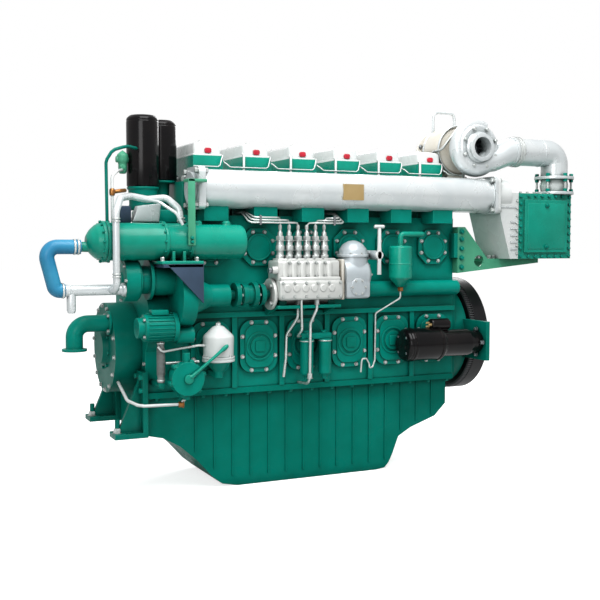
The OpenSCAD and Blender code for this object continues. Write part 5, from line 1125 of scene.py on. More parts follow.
@dataclass
class AirElbow:
    """Air pipe from the compressor down into the cooler."""

    y: float = -352.0
    z: float = 1002.0
    leg: float = 405.0
    bend: float = 110.0
    radius: float = 73.0

    def pipe(self) -> None:
        """Make the elbow, its flanges, sleeve and studs."""
        path = bent([(118.3, self.y, self.z), (self.leg, self.y, self.z), (self.leg, self.y, 876)], self.bend, 16)
        shape = Shape().swept(path, self.radius, 48)
        for low in (776, 860):
            shape.collar(Z, (self.leg, self.y, 0), low, low + 16, 60, 107, 3, 56)
        shape.piece("air_elbow_pipe", SILVER, replaces="air_elbow")
        bulged = [(792, 60), (792, 70), (806, 74), (826, 78), (846, 74), (860, 70), (860, 60)]
        sleeve = Shape().turned(Z, (self.leg, self.y, 0), bulged, 4, 48, True)
        sleeve.collar(X, (0, self.y, self.z), 119, 152, 70, 80, 3, 48)
        sleeve.piece("air_sleeves", WHITE)
        rings("air_pipe_clamps", [(x, self.y, self.z) for x in (126, 145)], RIGHT, 162, 3, 9, ZINC)
        rings("elbow_weld", [(295, self.y, self.z)], RIGHT, 146, 5, 6, SILVER)
        studs = Shape()
        seats = circle_of(Z, (self.leg, self.y, 0), 93, 6, 30)
        for p in seats:
            studs.turned(Z, (p[0], p[1], 0), [(774, 6), (892, 6)], 0, 10)
        studs.piece("elbow_studs", ZINC)
        bolts("elbow_nuts", [(p[0], p[1], z) for p in seats for z in (792, 876)], UP, TEAL, 24, 13)
        bolts("elbow_under_nuts", [(p[0], p[1], 860) for p in seats], DOWN, TEAL, 24, 13)


@dataclass
class AirCooler:
    """Cooler box with its frame bolts and panels, hood louvres and bracket bolts."""

    left: float = 106.0
    right: float = 462.0
    front: float = -428.0
    back: float = -150.0
    low: float = 424.0
    top: float = 776.0

    def fasteners(self) -> None:
        """Set the bolts round the cooler's front, end and top."""
        steps = [self.low + 16 + 40 * k for k in range(9)]
        across = [self.left + 20 + 45.5 * k for k in range(8)]
        near = [(x, self.front, z) for z in steps for x in (self.left + 13, self.right - 13)]
        near += [(x, self.front, z) for x in across[1:-1] for z in (self.low + 13, self.top - 13)]
        bolts("cooler_front_bolts", near, NEAR, TEAL, 17, 8)
        end = [(self.right, y, z) for z in steps for y in (self.front + 14, self.back - 14)]
        bolts("cooler_end_bolts", end, RIGHT, TEAL, 17, 8)
        bolts("cooler_top_bolts", [(x, y, self.top) for x in across for y in (self.front + 12, self.back - 12)],
              UP, ZINC, 16, 8)

    def panels(self) -> None:
        """Add the pressed panels on the cooler's front, end and back, and its two plugs."""
        shape = Shape()
        x0, x1, z0, z1 = self.left + 52, self.right - 52, self.low + 52, self.top - 52
        shape.block((x0, self.front - 15, z0), (x1, self.front - 10, z1), 5, Y)
        shape.block((self.right - 2, self.front + 34, self.low + 34),
                    (self.right + 2, self.back - 34, self.top - 34), 2, X)
        shape.block((x0 - 18, self.back - 2, z0 - 18), (x1 + 18, self.back + 8, z1 + 18), 4, Y)
        shape.piece("cooler_panels", BRIGHT_TEAL)
        plug = Shape()
        for z in (self.low + 64, self.top - 64):
            plug.turned(Y, (284, self.front - 15, z), [(0, 13), (-5, 13), (-6, 8), (-13, 8), (-14, 0)], 1, 12)
        plug.piece("cooler_plugs", SHADE_TEAL)

    def louvres(self) -> None:
        """Add the short louvre bars, the seam and the bolts of the hood."""
        bars("hood_louvres", [(76, self.front - 1, 478 + 36 * k) for k in range(5)], (46, 8, 9), SILVER)
        bars("hood_seam", [(40, self.front - 1, 700)], (122, 6, 7), SILVER)
        places = [(self.left - 10, self.front, self.low + 30 + 40 * k) for k in range(8)]
        bolts("hood_bolts", places, NEAR, ZINC, 14, 7)

    def bracket(self) -> None:
        """Add the bolts that hold the bracket to the engine and the cooler to the bracket."""
        bolts("bracket_bolts", [(-190, -328, z) for z in (380, 430, 480, 530, 570)], NEAR, TEAL, 24, 12)
        foot = [(x, y, 424) for x in (10, 40, 70) for y in (-300, -190)]
        bolts("cooler_foot_bolts", foot, UP, ZINC, 20, 16)
        rings("bracket_hole_edge", [(-75, -320, 412)], NEAR, 64, 5, 18, PALE_GREEN)


@dataclass
class InjectionPump:
    """In-line injection pump on its shelf with governor, lever and pipes."""

    left: float = -1322.0
    right: float = -984.0
    pitch: float = 47.0
    valve_x: tuple[float, ...] = tuple(-1282 + 47.0 * k for k in range(6))
    valve_y: float = -404.0
    shaft: Pair = (-397.0, 263.0)
    dome: Pair = (-891.0, -410.0)
    pivot: Pair = (-794.0, 448.0)

    def casing(self) -> None:
        """Make the cast pump casing with a bulge for each element, and the green shelf under it."""
        shape = Shape()
        shape.block((self.left, -492, 236), (self.right, -330, 330), 14, X)
        shape.block((self.left + 4, -462, 318), (self.right - 4, -334, 424), 10, X)
        shape.block((self.left + 10, -484, 322), (self.right - 10, -420, 346), 8, X)
        shape.block((self.left + 14, -440, 416), (self.right - 14, -368, 434), 6, X)
        for x in self.valve_x:
            shape.turned(Z, (x, -452, 336), [(0, 19), (76, 19), (84, 14), (86, 0)], 4, 20)
            shape.turned(Y, (x, -492, 292), [(3, 0), (3, 18), (-3, 18), (-5, 13), (-5, 0)], 2, 20)
        flange, stub = [(-18, 22), (-18, 75), (-2, 75), (4, 60), (10, 22)], [(-22, 12), (-22, 18), (6, 20), (6, 12)]
        shape.turned(X, (self.left, *self.shaft), flange, 3, 40, True)
        shape.turned(X, (self.left, -446, 378), stub, 2, 20, True)
        belly = [(self.left + 20, 0), (self.left + 24, 30), (self.right - 24, 30), (self.right - 20, 0)]
        shape.turned(X, (0, -411, 240), belly, 4, 24)
        shape.piece("pump_casing", ALUMINIUM, replaces="injection_pump")
        shelf = Shape().block((self.left, -470, 194), (self.right, -280.3, 211), 4, X)
        for x in (self.left + 20, self.right - 60):
            shelf.block((x, -440, 205), (x + 40, -290, 236), 5, X)
        for x in (self.left + 12, -1153, self.right - 12):
            shelf.prism(X, [(-280.3, 150), (-280.3, 200), (-450, 200)], x - 6, x + 6)
        shelf.piece("pump_shelf", TEAL, replaces="injection_pump")

    def valves(self) -> None:
        """Make the delivery valve holders, their nuts, clamps and the screws of the casing."""
        shape, y = Shape(), self.valve_y
        holder = [(0, 22), (20, 22), (24, 17), (40, 17), (44, 21), (66, 21), (70, 17), (92, 17), (96, 12), (130, 12),
                  (136, 7), (160, 6)]
        for x in self.valve_x:
            shape.turned(Z, (x, y, 428), holder, 2, 20)
        shape.piece("delivery_valves", ZINC)
        bolts("valve_hexagons", [(x, y, z) for x in self.valve_x for z in (430, 474, 520)], UP, ZINC, 42, 18)
        between = [x + self.pitch / 2 for x in self.valve_x[:5]]
        screws = [(x, -462, z) for x in between for z in (348, 414)]
        screws += [(self.left + 16 + 61 * k, -492, z) for k in range(6) for z in (252, 318)]
        bolts("pump_screws", screws, NEAR, ZINC, 13, 7)
        bolts("pump_flange_bolts", circle_of(X, (self.left - 18, *self.shaft), 58, 4, 45), LEFT, ZINC, 18, 10)
        bolts("pump_top_nuts", [(x, row, 434) for x in between for row in (-432, -376)], UP, ZINC, 15, 12)
        bars("valve_clamps", [(x, y, 442) for x in between], (14, 60, 10), STEEL)

    def governor(self) -> None:
        """Make the governor: cream end plate, casing, dome, lever boss and screws."""
        plate = Shape().block((-984, -470, 232), (-966, -330, 428), 5, X)
        plate.piece("governor_plate", CREAM, replaces="governor")
        shape = Shape()
        shape.turned(X, (0, -410, 352), [(-966, 0), (-966, 83), (-838, 83), (-818, 62), (-818, 0)], 6, 48)
        shape.block((-966, -488, 236), (-830, -332, 340), 14, X)
        shape.turned(Z, (*self.dome, 0), [(352, 75), (446, 75), (478, 68), (504, 48), (518, 22), (521, 0)], 8, 40)
        shape.turned(Z, (*self.dome, 0), [(440, 80), (452, 80), (452, 60), (440, 60)], 2, 40, True)
        shape.collar(Y, (self.pivot[0], 0, self.pivot[1]), -498, -380, 12, 23, 3, 24)
        shape.prism(Y, [(-846, 425), (-790, 427), (-790, 470), (-846, 474)], -436, -388, 5)
        shape.turned(Y, (-900, -488, 292), [(4, 44), (-5, 44), (-7, 38), (-7, 0)], 2, 32)
        shape.piece("governor_casing", BLUED, replaces="governor")
        bolts("governor_screws", circle_of(Y, (-900, -494, 292), 36, 6), NEAR, ZINC, 11, 6)
        bolts("governor_dome_screws", circle_of(Z, (*self.dome, 452), 71, 8, 10), UP, ZINC, 12, 7)
        bolts("governor_rim_screws", circle_of(X, (-818, -410, 352), 54, 6), RIGHT, ZINC, 12, 7)

    def lever(self) -> None:
        """Make the forged control lever with its cross handle, which turns with its joint."""
        shape, (x, z), y = Shape(), self.pivot, -504.6
        arm = [(-9, -96), (9, -96), (8, -30), (13, 0), (8, 40), (7, 140), (-7, 140), (-8, 40), (-13, 0), (-8, -30)]
        shape.prism(Y, [(x + u, z + v) for u, v in arm], y - 6, y + 6, 2)
        shape.turned(Y, (x, 0, z), [(y - 6, 0), (y - 6, 21), (y + 5.8, 22), (y + 5.8, 0)], 3, 24)
        shape.turned(Y, (x, 0, z), [(y, 10.5), (-373, 10.5)], 0, 20)
        shape.collar(Y, (x, 0, z), -379.4, -374, 11, 22, 1, 24)
        shape.turned(X, (x, y, z + 140), [(-28, 0), (-28, 7), (-20, 9), (20, 9), (28, 7), (28, 0)], 3, 16)
        shape.piece("lever_forging", WHITE, "control_lever", "control_lever")

    def pipes(self) -> None:
        """Lay the six injection pipes in their two bundles, with their nuts and clips."""
        runs, y, gap = [], self.valve_y, 12
        for k, x in enumerate(self.valve_x):
            # The first three pipes lean to the front, the others to the rear
            front = k < 3
            end = -1455 + (2 - k) * gap if front else -955 - (k - 3) * gap
            level = 628 - (k if front else 5 - k) * gap
            leant = x - 36 if front else x + 36
            runs.append([(x, y, 586), (x, y, level), (leant, -440, level), (end, -440, level), (end, -340, 655),
                         (end, -250.3, 655)])
        tubes("injection_pipe_runs", runs, 8.5, 13, ZINC, replaces="injection_pipes")
        bars("pipe_clips", [(-1400, -440, 616), (-1010, -440, 616)], (10, 16, 44), STEEL)
        shape = Shape()
        for x in self.valve_x:
            shape.turned(Z, (x, self.valve_y, 574), [(0, 9), (16, 9), (22, 5)], 1, 6)
        shape.piece("pipe_nuts", ZINC)

    def drive(self) -> None:
        """Add the bolts of both couplings, which turn with the drive shaft."""
        seats = [p for x in (-1497, -1407) for p in circle_of(X, (x, *self.shaft), 42, 6)]
        bolts("coupling_bolts_small", seats, RIGHT, ZINC, 15, 9, "pump_drive")


@dataclass
class Auxiliaries:
    """Small fittings along the near side: filters, centrifuge, cup, hand pump and pipes."""

    bowls: Pair = (-1128.0, -1030.0)
    bell: Pair = (-1597.0, -400.0)
    cup_at: Pair = (-610.0, -400.0)
    hand: Point = (-1773.0, -486.0, -110.0)
    lever_tilt: float = 38.0

    def fuel_filters(self) -> None:
        """Make the two fuel filter bowls and their head."""
        shape = Shape()
        bowl = [(-164, 0), (-164, 14), (-146, 15), (-142, 26), (-132, 33), (20, 33), (24, 36), (36, 36), (40, 0)]
        for x in self.bowls:
            shape.turned(Z, (x, -378, 0), bowl, 3, 32)
        shape.block((-1161, -394, 36), (-997, -316.3, 66), 6, X)
        for x in self.bowls:
            shape.turned(Z, (x, -368, 60), [(0, 16), (14, 16), (18, 12), (18, 0)], 2, 16)
        shape.piece("fuel_filter_bowls", TEAL, replaces="fuel_filters")
        rings("filter_bands", [(x, -378, 28) for x in self.bowls], UP, 68, 5, 8, ZINC)
        feed = [(-1161, -378, 52), (-1190, -400, 52), (-1190, -455, 90), (-1205, -480, 236)]
        tubes("fuel_feed", [feed], 11, 14, ZINC)

    def centrifuge(self) -> None:
        """Make the oil centrifuge with its white bell, band and green foot, and the pipes beside it."""
        x, y = self.bell
        dome = [(-22, 0), (-22, 71), (-14, 71), (70, 73), (80, 66), (118, 26), (122, 13)]
        band = [(-46, 40), (-46, 77), (-36, 77), (-34, 74), (-30, 77), (-22, 77), (-22, 40)]
        bell = Shape().turned(Z, (x, y, 0), dome, 5, 48)
        bell.turned(Z, (x, y, 0), [(120, 12), (134, 12)], 0, 6)
        bell.turned(Z, (x, y, 0), band, 2, 48, True)
        bell.piece("centrifuge_bell", WHITE, replaces="oil_centrifuge")
        foot = Shape().turned(Z, (x, y, 0), [(-122, 24), (-94, 24), (-80, 36), (-46, 64), (-40, 64), (-40, 0)], 4, 40)
        foot.block((x - 24, -402, -122), (x + 24, -300.3, -94), 6, Y)
        foot.rod(Z, (x, y, 0), -122, -94, 24, 0, 32)
        foot.piece("centrifuge_foot", TEAL, replaces="oil_centrifuge")
        bolts("centrifuge_clamp_bolts", circle_of(Z, (x, y, -22), 70, 6), UP, ZINC, 12, 9)
        rods = [[(-1650, -412, 30), (-1700, -412, 34), (-1880, -432, 14), (-1900, -432, 40)],
                [(-1700, -420, -40), (-1860, -420, -40)]]
        tubes("silver_oil_rods", rods, 12, 14, ZINC)
        low = [(-1773, -455, -186), (-1773, -455, -228), (-1984, -430, -228), (-2016, -330, -214),
               (-2016, -166, -150)]
        tubes("low_white_pipe", [low], 15, 30, WHITE)
        bolts("low_pipe_nut", [(-1790, -453, -228)], LEFT, BRONZE, 28, 18)

    def cup(self) -> None:
        """Make the breather cup with its neck, nut and drain pipe, the union block and the oil drops."""
        x, y = self.cup_at
        wall = [(284, 0), (284, 16), (330, 58), (338, 59), (486, 59), (493, 54), (495, 14)]
        cup = Shape().turned(Z, (x, y, 0), wall, 4, 40)
        cup.swept(bent([(x, y, 493), (x, y, 553), (-475, y, 553), (-475, -280.3, 553)], 18), 14, 20)
        cup.turned(Z, (x, y, 0), [(400, 58), (403, 60.5), (406, 58)], 1, 40, True)
        cup.piece("breather_cup", BRIGHT_TEAL, replaces="oil_pipes")
        nut = Shape().turned(Z, (x, y, 0), [(262, 9), (264, 15), (282, 15), (284, 12)], 0, 6)
        nut.piece("cup_nut", BRONZE)
        loop = [(x, y, 262), (x, y, 228), (-725, -348, 150), (-725, -342, -92)]
        loop += [(-733 - 26 * math.sin(a), -342, -118 - 20 * math.cos(a)) for a in (0.4, 1.2, 2.0)]
        loop += [(-785, -342, -62), (-800, -338, -92), (-800, -330, -150)]
        tubes("cup_drain", [loop], 9, 12, ZINC, replaces="oil_pipes")
        block = Shape().rod(Y, (-1880, 0, -143.3), -427, -270.3, 15, 3, 24)
        block.rod(Z, (-1880, -412, 0), -143, -128.4, 15, 2, 24)
        block.piece("union_block", SHADE_TEAL, replaces="oil_pipes")
        drops = [[(-1205, -440, 236), (-1205, -440, 150), (-1222, -345, 60), (-1222, -336, -60), (-1232, -330, -150)],
                 [(-1118, -470, 240), (-1118, -470, 190), (-1132, -428, 120), (-1134, -425, -150),
                  (-1134, -400, -180), (-1134, -290.5, -186)]]
        tubes("oil_drops", drops, 13, 22, ZINC)
        bolts("drop_unions", [(-1118, -470, 214), (-1134, -425, -150), (-1205, -440, 214)], UP, ZINC, 24, 20)

    def hand_pump(self) -> None:
        """Add the lobes and bolts of the hand pump and make its lever."""
        x, y, z = self.hand
        lobed = [(y + 0.2, 0), (y + 0.2, 50), (y + 5, 66), (y + 5, 77), (y + 14, 77), (y + 16, 0)]
        shape = Shape().turned(Y, (x, 0, z), lobed, 3, 48)
        for px, _, pz in circle_of(Y, (x, y, z), 76, 6, 15):
            shape.rod(Y, (px, y, pz), 6, 60, 13, 2, 16)
        shape.piece("hand_pump_cover", TEAL)
        bolts("hand_pump_bolts", circle_of(Y, (x, y + 6, z), 76, 6, 15), NEAR, TEAL, 14, 4)
        lever, tilt = Shape(), math.radians(self.lever_tilt)
        way = Vector((math.cos(tilt), 0, math.sin(tilt)))
        base = Vector((x, -493.5, z))
        lever.swept([base + way * d for d in (12, 60, 150, 196, 214, 232, 240)], [11, 8, 7, 8, 11, 10, 5], 16)
        lever.turned(Y, (x, 0, z), [(-500, 0), (-500, 21), (-486.8, 22), (-486.8, 0)], 3, 32)
        lever.turned(Y, (x, 0, z), [(-494, 11.5), (-452, 11.5)], 0, 20)
        lever.piece("hand_lever_forging", BRIGHT_TEAL, "hand_pump_lever", "hand_pump_lever")


@dataclass
class Cooling:
    """Heat exchanger with its pipework, hoses and sea-water pump."""

    y: float = -412.0
    z: float = 513.0
    hose_d: float = 64.0
    sea_shaft: Pair = (-351.2, 339.7)

    def exchanger(self) -> None:
        """Make the two-shell exchanger with its domed end, flanges and fittings."""
        dome = [(-2216, 0), (-2216, 26), (-2200, 52), (-2176, 74), (-2151, 83)]
        flanges = [(-2150, 92), (-2136, 92), (-2134, 86), (-2132, 92), (-2118, 92), (-2116, 84), (-1875, 84),
                   (-1873, 92), (-1859, 92), (-1857, 84), (-1760, 84), (-1758, 92), (-1744, 92)]
        rear = [(-1742, 80), (-1500, 80), (-1484, 74), (-1474, 52), (-1472, 0)]
        shape = Shape().turned(X, (0, self.y, self.z), dome + flanges + rear, 5, 64)
        shape.turned(X, (0, self.y, 490), [(-2239, 0), (-2239, 22), (-2200, 23), (-2170, 23), (-2170, 0)], 2, 24)
        for x in (-1700, -1560):
            shape.turned(Z, (x, self.y, self.z + 70), [(0, 20), (20, 20), (22, 16), (26, 16), (26, 0)], 2, 20)
        shape.piece("exchanger_shell", BRIGHT_TEAL, replaces="heat_exchanger")
        seats = [p for x in (-2150, -1873, -1758) for p in circle_of(X, (x, self.y, self.z), 87, 12)]
        bolts("exchanger_bolts", seats, LEFT, TEAL, 12, 7)
        bolts("exchanger_back_bolts", circle_of(X, (-2118, self.y, self.z), 87, 12), RIGHT, TEAL, 12, 7)

    def hoop(self) -> None:
        """Lay the silver hoop over the exchanger, its lower pipe and the tap."""
        x, front = -2108, self.y - 110
        hoop = bent([(x, self.y, 300), (x, front, 300), (x, front, 640), (x + 34, -466, 704), (-2010, -404, 716),
                     (-1930, -388, 704), (-1840, -384, 714), (-1786, -400, 664), (-1780, self.y, 598)], 44, 8)
        shape = Shape().swept(hoop, 15.5, 24)
        lower = [(-2309, 0), (-2309, 27), (-2290, 27), (-2286, 24), (-2060, 24), (-2056, 30), (-2042.5, 30),
                 (-2042.5, 0)]
        shape.turned(X, (0, self.y, 300), lower, 2, 32)
        shape.turned(Z, (-2282, self.y, 0), [(200, 0), (200, 15), (212, 20), (300, 20), (300, 0)], 2, 20)
        shape.piece("silver_water_pipes", SILVER, replaces="coolant_pipes")
        rings("hoop_unions", [(x, front, z) for z in (360, 372, 600, 612)], UP, 33, 5, 7, ZINC)
        rings("hoop_clamp", [(-1780, self.y, z) for z in (606, 620)], UP, 34, 5, 7, ZINC)
        branch = [(-1960, -392, 706), (-1900, -470, 690), (-1830, -500, 640), (-1800, -500, 588)]
        tubes("hoop_branch", [branch], 14, 26, SILVER)

    def teal_pipes(self) -> None:
        """Make the water rail along the block and the sea-water inlet elbow."""
        rail = [(-800, 0), (-800, 34), (-792, 40), (-221, 40), (-213.3, 36), (-213.3, 0)]
        shape = Shape().turned(X, (0, -320, 273), rail, 4, 40)
        path = bent([(-2040.5, -110, 128), (-2208, -110, 128), (-2208, -110, 0)], 66, 12)
        shape.swept(path, 40, 32)
        shape.collar(Z, (-2208, -110, 0), 0, 12, 32, 58, 2, 40)
        shape.collar(X, (0, -110, 128), -2052, -2040.4, 30, 58, 2, 40)
        shape.piece("teal_water_pipes", TEAL, replaces="coolant_pipes")
        bolts("inlet_bolts", circle_of(X, (-2052, -110, 128), 49, 4, 45), LEFT, ZINC, 14, 8)

    def hose(self) -> None:
        """Make the blue hose with its worm clamps."""
        path = bent([(-2240, self.y, 490), (-2397, self.y, 490), (-2350, self.y, 300), (-2310, self.y, 300)], 46, 14)
        Shape().swept(path, self.hose_d / 2, 36).piece("blue_hose", BLUE_RUBBER, replaces="coolant_hose")
        clamps = [(x, self.y, z) for x, z in ((-2250, 490), (-2266, 490), (-2318, 300))]
        rings("hose_clamps", clamps, RIGHT, 67, 3, 10, ZINC)

    def sea_pump(self) -> None:
        """Add the cover and bolts of the sea-water pump."""
        y, z = self.sea_shaft
        cover = [(-2050, 0), (-2050, 34), (-2044, 40), (-2044, 82), (-2041, 86), (-2041, 0)]
        shape = Shape().turned(X, (0, y, z), cover, 2, 48)
        shape.turned(X, (0, y, z), [(-1978, 60), (-1976, 90), (-1968, 90), (-1964, 60)], 2, 48, True)
        shape.piece("sea_pump_cover", TEAL)
        bolts("sea_pump_bolts", circle_of(X, (-2042, y, z), 90, 8), LEFT, ZINC, 14, 8)

    def stay(self) -> None:
        """Make the exchanger's saddle, its gusset in dark slate as painted shade, and its pale stay, with their
        bolts.
        """
        saddle = Shape().block((-1911.7, -548, 413), (-1718, -342.3, 427), 3, Z)
        cradle = [(-494, 426), (-345, 426), (-345, 449), (-372, 429.5), (-452, 429.5), (-479, 449), (-494, 470)]
        for x in (-1840, -1790):
            saddle.prism(X, cradle, x - 7, x + 7, 1.5)
        saddle.piece("exchanger_saddle", BRIGHT_TEAL, replaces="exchanger_bracket")
        # The dark slate gusset plate stands for the shade under the saddle: painted shade
        gusset = Shape().prism(Y, [(-1888, 414), (-1718, 414), (-1718, 236)], -548, -536, 3)
        gusset.prism(Y, [(-1905, 413), (-1718, 413), (-1718, 398), (-1905, 398)], -548, -400, 2)
        gusset.piece("painted_shade_gusset", SLATE, replaces="exchanger_bracket")
        stay = Shape().block((-1778, -514, 496), (-1744, -504, 795), 3, Y)
        stay.block((-1778, -514, 781), (-1687.3, -440, 795), 3, Z)
        stay.piece("exchanger_stay", PALE_GREEN, replaces="exchanger_bracket")
        bolts("saddle_bolts", [(x, -500, 427) for x in (-1895, -1735)], UP, ZINC, 20, 14)
        bolts("stay_bolts", [(-1761, -514.5, z) for z in (512, 530)], NEAR, TEAL, 15, 8)


@dataclass
class FrontEnd:
    """Gear case, round cover, feet, oil filters and pre-lubricating pump at the free end."""

    case_x: float = -1912.0
    cover: Point = (-2040.0, 0.0, 0.0)
    side: float = -412.0
    motor_z: float = 124.0
    hose: Point = (-1880.0, -412.0, 0.0)
    hose_ends: Pair = (-128.0, 61.7)

    def fasteners(self) -> None:
        """Set the bolts of the gear case, the round cover and the feet."""
        rim = [(-255, z) for z in (-180, -60)] + [(255, -180 + 120 * k) for k in range(7)]
        rim += [(y, 585) for y in (-120, 0, 120, 240, -240)]
        case = [(self.case_x, y, z) for y, z in rim]
        case += [p for p in circle_of(X, (self.case_x, -205, 404.8), 126, 12) if p[1] < -230]
        bolts("gear_case_bolts", case, LEFT, ZINC, 18, 9)
        bolts("round_cover_bolts", circle_of(X, self.cover, 204, 14, 8), LEFT, ZINC, 18, 9)
        bolts("hub_bolts", circle_of(X, self.cover, 100, 8, 10), LEFT, TEAL, 16, 8)
        feet = [(-1936, s * y, z) for s in (-1, 1) for y in (218, 296) for z in (-118, -180)]
        bolts("foot_bolts", feet, LEFT, TEAL, 26, 13)
        bolts("foot_jack_nuts", [(-2045, s * 257, -374) for s in (-1, 1)], UP, ZINC, 38, 18)

    def oil_filters(self) -> None:
        """Make the two tall black filters with their dark green base."""
        shape, base = Shape(), Shape()
        for x, y, low, neck in ((-1905, -230, 768, 74), (-1771, -80, 808, 46)):
            can = [(low, 0), (low, 68), (low + 4, 75), (1068, 75), (1072, 73), (1076, 75), (1086, 72), (1098, 58),
                   (1100, 0)]
            shape.turned(Z, (x, y, 0), can, 3, 64)
            stem = [(660, 0), (660, neck - 4), (690, neck - 10), (low - 14, neck - 6), (low - 10, 74), (low, 74),
                    (low, 0)]
            base.turned(Z, (x, y, 0), stem, 3, 48)
        base.block((-1912, -267, 600), (-1737, -43, 664), 10, Z)
        shape.piece("oil_filter_cans", BLACK, replaces="oil_filters")
        base.piece("oil_filter_base", SHADE_TEAL, replaces="oil_filters")
        bolts("filter_base_bolts", [(x, y, 664) for x in (-1895, -1755) for y in (-150, -255)], UP, ZINC, 18, 10)

    def filter_side(self) -> None:
        """Make what stands beside the filters: valve casting, vent pipes, copper union, box and duct."""
        valve = [(826, 0), (826, 14), (840, 20), (872, 20), (884, 26), (912, 26), (922, 16), (934, 0)]
        body = Shape().turned(Z, (-2004, -244, 0), valve, 4, 24)
        body.rod(X, (0, -238, 892), -2034, -1976, 15, 3, 20)
        body.rod(Y, (-2008, 0, 856), -272, -230, 12, 3, 16)
        body.piece("filter_valve", PALE_GREEN)
        y = self.side
        vent = [(-2120, y, 596), (-2122, y, 868), (-2092, y, 916), (-2030, y, 936), (-1962, -304, 940),
                (-1950, -286, 940)]
        tubes("vent_pipe", [vent], 15, 30, SHADE_TEAL)
        tubes("white_vent", [[(-2096, y, 596), (-2096, y, 802), (-2070, -400, 826), (-2012, -262, 842)]],
              14, 20, WHITE)
        nut = [(716, 0), (716, 11), (726, 13), (740, 13), (748, 9), (748, 0)]
        union = Shape().turned(Z, (-2096, y, 0), nut, 2, 12)
        union.swept(bent([(-2096, y, 732), (-2060, y, 738), (-2030, -380, 742)], 20), 9, 14)
        union.piece("copper_union", BRONZE)
        dark = Shape().block((-2052, -340, 596), (-1990, -270, 676), 8)
        dark.piece("junction_box", SLATE)
        duct = Shape().prism(Y, [(-1985, 604), (-1860, 604), (-1850, 690), (-1960, 676)], -340, -285, 6)
        duct.piece("filter_duct", SILVER)

    def prelube(self) -> None:
        """Add the fins, box and bolts of the pre-lubricating pump's motor, and its ribbed hose."""
        fins, middle = Shape(), Vector((0, self.side, self.motor_z))
        for k in range(13):
            turn = math.radians(84 + 16 * k)
            out, side = Vector((0, math.cos(turn), math.sin(turn))), Vector((0, -math.sin(turn), math.cos(turn)))
            section = [middle + out * r + side * w for r, w in ((58, -3), (67, -2), (67, 2), (58, 3))]
            fins.lofted([[p + Vector((x, 0, 0)) for p in section] for x in (-1948, -1830)])
        fins.piece("motor_fins", TEAL)
        shape = Shape().block((-1930, -448, 180), (-1850, -392, 206), 6)
        end = [(-1992, 0), (-1992, 38), (-1984, 46), (-1964, 46), (-1962, 60), (-1962, 0)]
        shape.turned(X, middle, end, 3, 40)
        shape.piece("motor_box", TEAL)
        bolts("motor_bolts", circle_of(X, (-1962, self.side, self.motor_z), 53, 4, 45), LEFT, ZINC, 13, 8)
        low, high = self.hose_ends
        hose = Shape().collar(Z, self.hose, low, high, 12, 16, 0, 28)
        hose.piece("ribbed_hose_tube", GREY_RUBBER, replaces="prelube_hose")
        # 22 ribs between the plain cuffs of 32 mm at both ends
        x, y, step = *self.hose[:2], (high - low - 64) / 22
        ribs = [(x, y, low + 32 + (k + 0.5) * step) for k in range(22)]
        rings("ribbed_hose_ribs", ribs, UP, 34, 5.6, 4.4, GREY_RUBBER)
        rings("ribbed_hose_clamps", [(x, y, z) for z in (-118, 52)], UP, 34, 3, 9, ZINC)


@dataclass
class FlywheelEnd:
    """Flywheel, its housing and the starter."""

    starter_at: Pair = (-402.0, -14.0)

    def fasteners(self) -> None:
        """Set the bolts of the flywheel and its housing."""
        bolts("flywheel_bolts", circle_of(X, (-34, 0, 0), 95, 12), RIGHT, STEEL, 30, 16, CRANK)
        bolts("housing_bolts", circle_of(X, (-196, 0, 0), 262, 16, 11), RIGHT, TEAL, 20, 10)

    def starter(self) -> None:
        """Make the starter with its cap, solenoid, terminals and nose."""
        y, z = self.starter_at
        motor = [(-598, 0), (-598, 66), (-592, 78), (-580, 84), (-574, 80), (-568, 84), (-384, 84), (-372, 78),
                 (-366, 70), (-210, 70), (-180, 62), (-134.3, 58), (-134.3, 0)]
        shape = Shape().turned(X, (0, y, z), motor, 4, 56)
        shape.turned(X, (0, y, z + 99), [(-432, 0), (-432, 26), (-424, 31), (-326, 31), (-318, 24), (-312, 0)], 3, 32)
        shape.block((-420, y - 20, z + 68), (-330, y + 20, z + 86), 5, X)
        nose = [(-248, 15.5), (-248, 38), (-238, 44), (-134.2, 44), (-134.2, 36.5), (-188, 36.5), (-188, 15.5)]
        shape.turned(X, (0, -336.4, z), nose, 3, 40, True)
        for x in (-560, -400):
            shape.collar(X, (0, y, z), x, x + 14, 80, 87, 2, 56)
        shape.piece("starter_body", BLACK, replaces="starter_motor")
        bolts("starter_cap_bolts", circle_of(X, (-592, y, z), 56, 4, 45), LEFT, STEEL, 14, 8)
        ears = [(-146, y + a, z + b) for a, b in ((-64, 0), (-8, 66), (-8, -66))]
        bolts("starter_flange_bolts", ears, LEFT, STEEL, 22, 12)
        poles = [(-432, y + a, z + 99 + b) for a, b in ((-12, 0), (10, 8), (10, -10))]
        bolts("starter_terminals", poles, LEFT, BRASS, 11, 14)


@dataclass
class ExhaustSide:
    """Exhaust manifold on the far side, with its joints, bands and port bolts."""

    y: float = 372.0
    z: float = 762.0

    def dress(self) -> None:
        """Add expansion joints, bands and port bolts."""
        between = [x + 125 for x in CYLINDERS[:5]]
        joints = [(x + d, self.y, self.z) for x in between for d in (-14, 0, 14)]
        rings("expansion_joints", joints, RIGHT, 155, 14, 10, CREAM)
        bands = [(x + d, self.y, self.z) for x in between for d in (-32, 32)]
        rings("manifold_bands", bands, RIGHT, 163, 6, 12, SILVER)
        seats = [(x + a, 264, z) for x in CYLINDERS for a in (-56, 56) for z in (656, 782)]
        bolts("manifold_port_bolts", seats, FAR, STEEL, 20, 12)


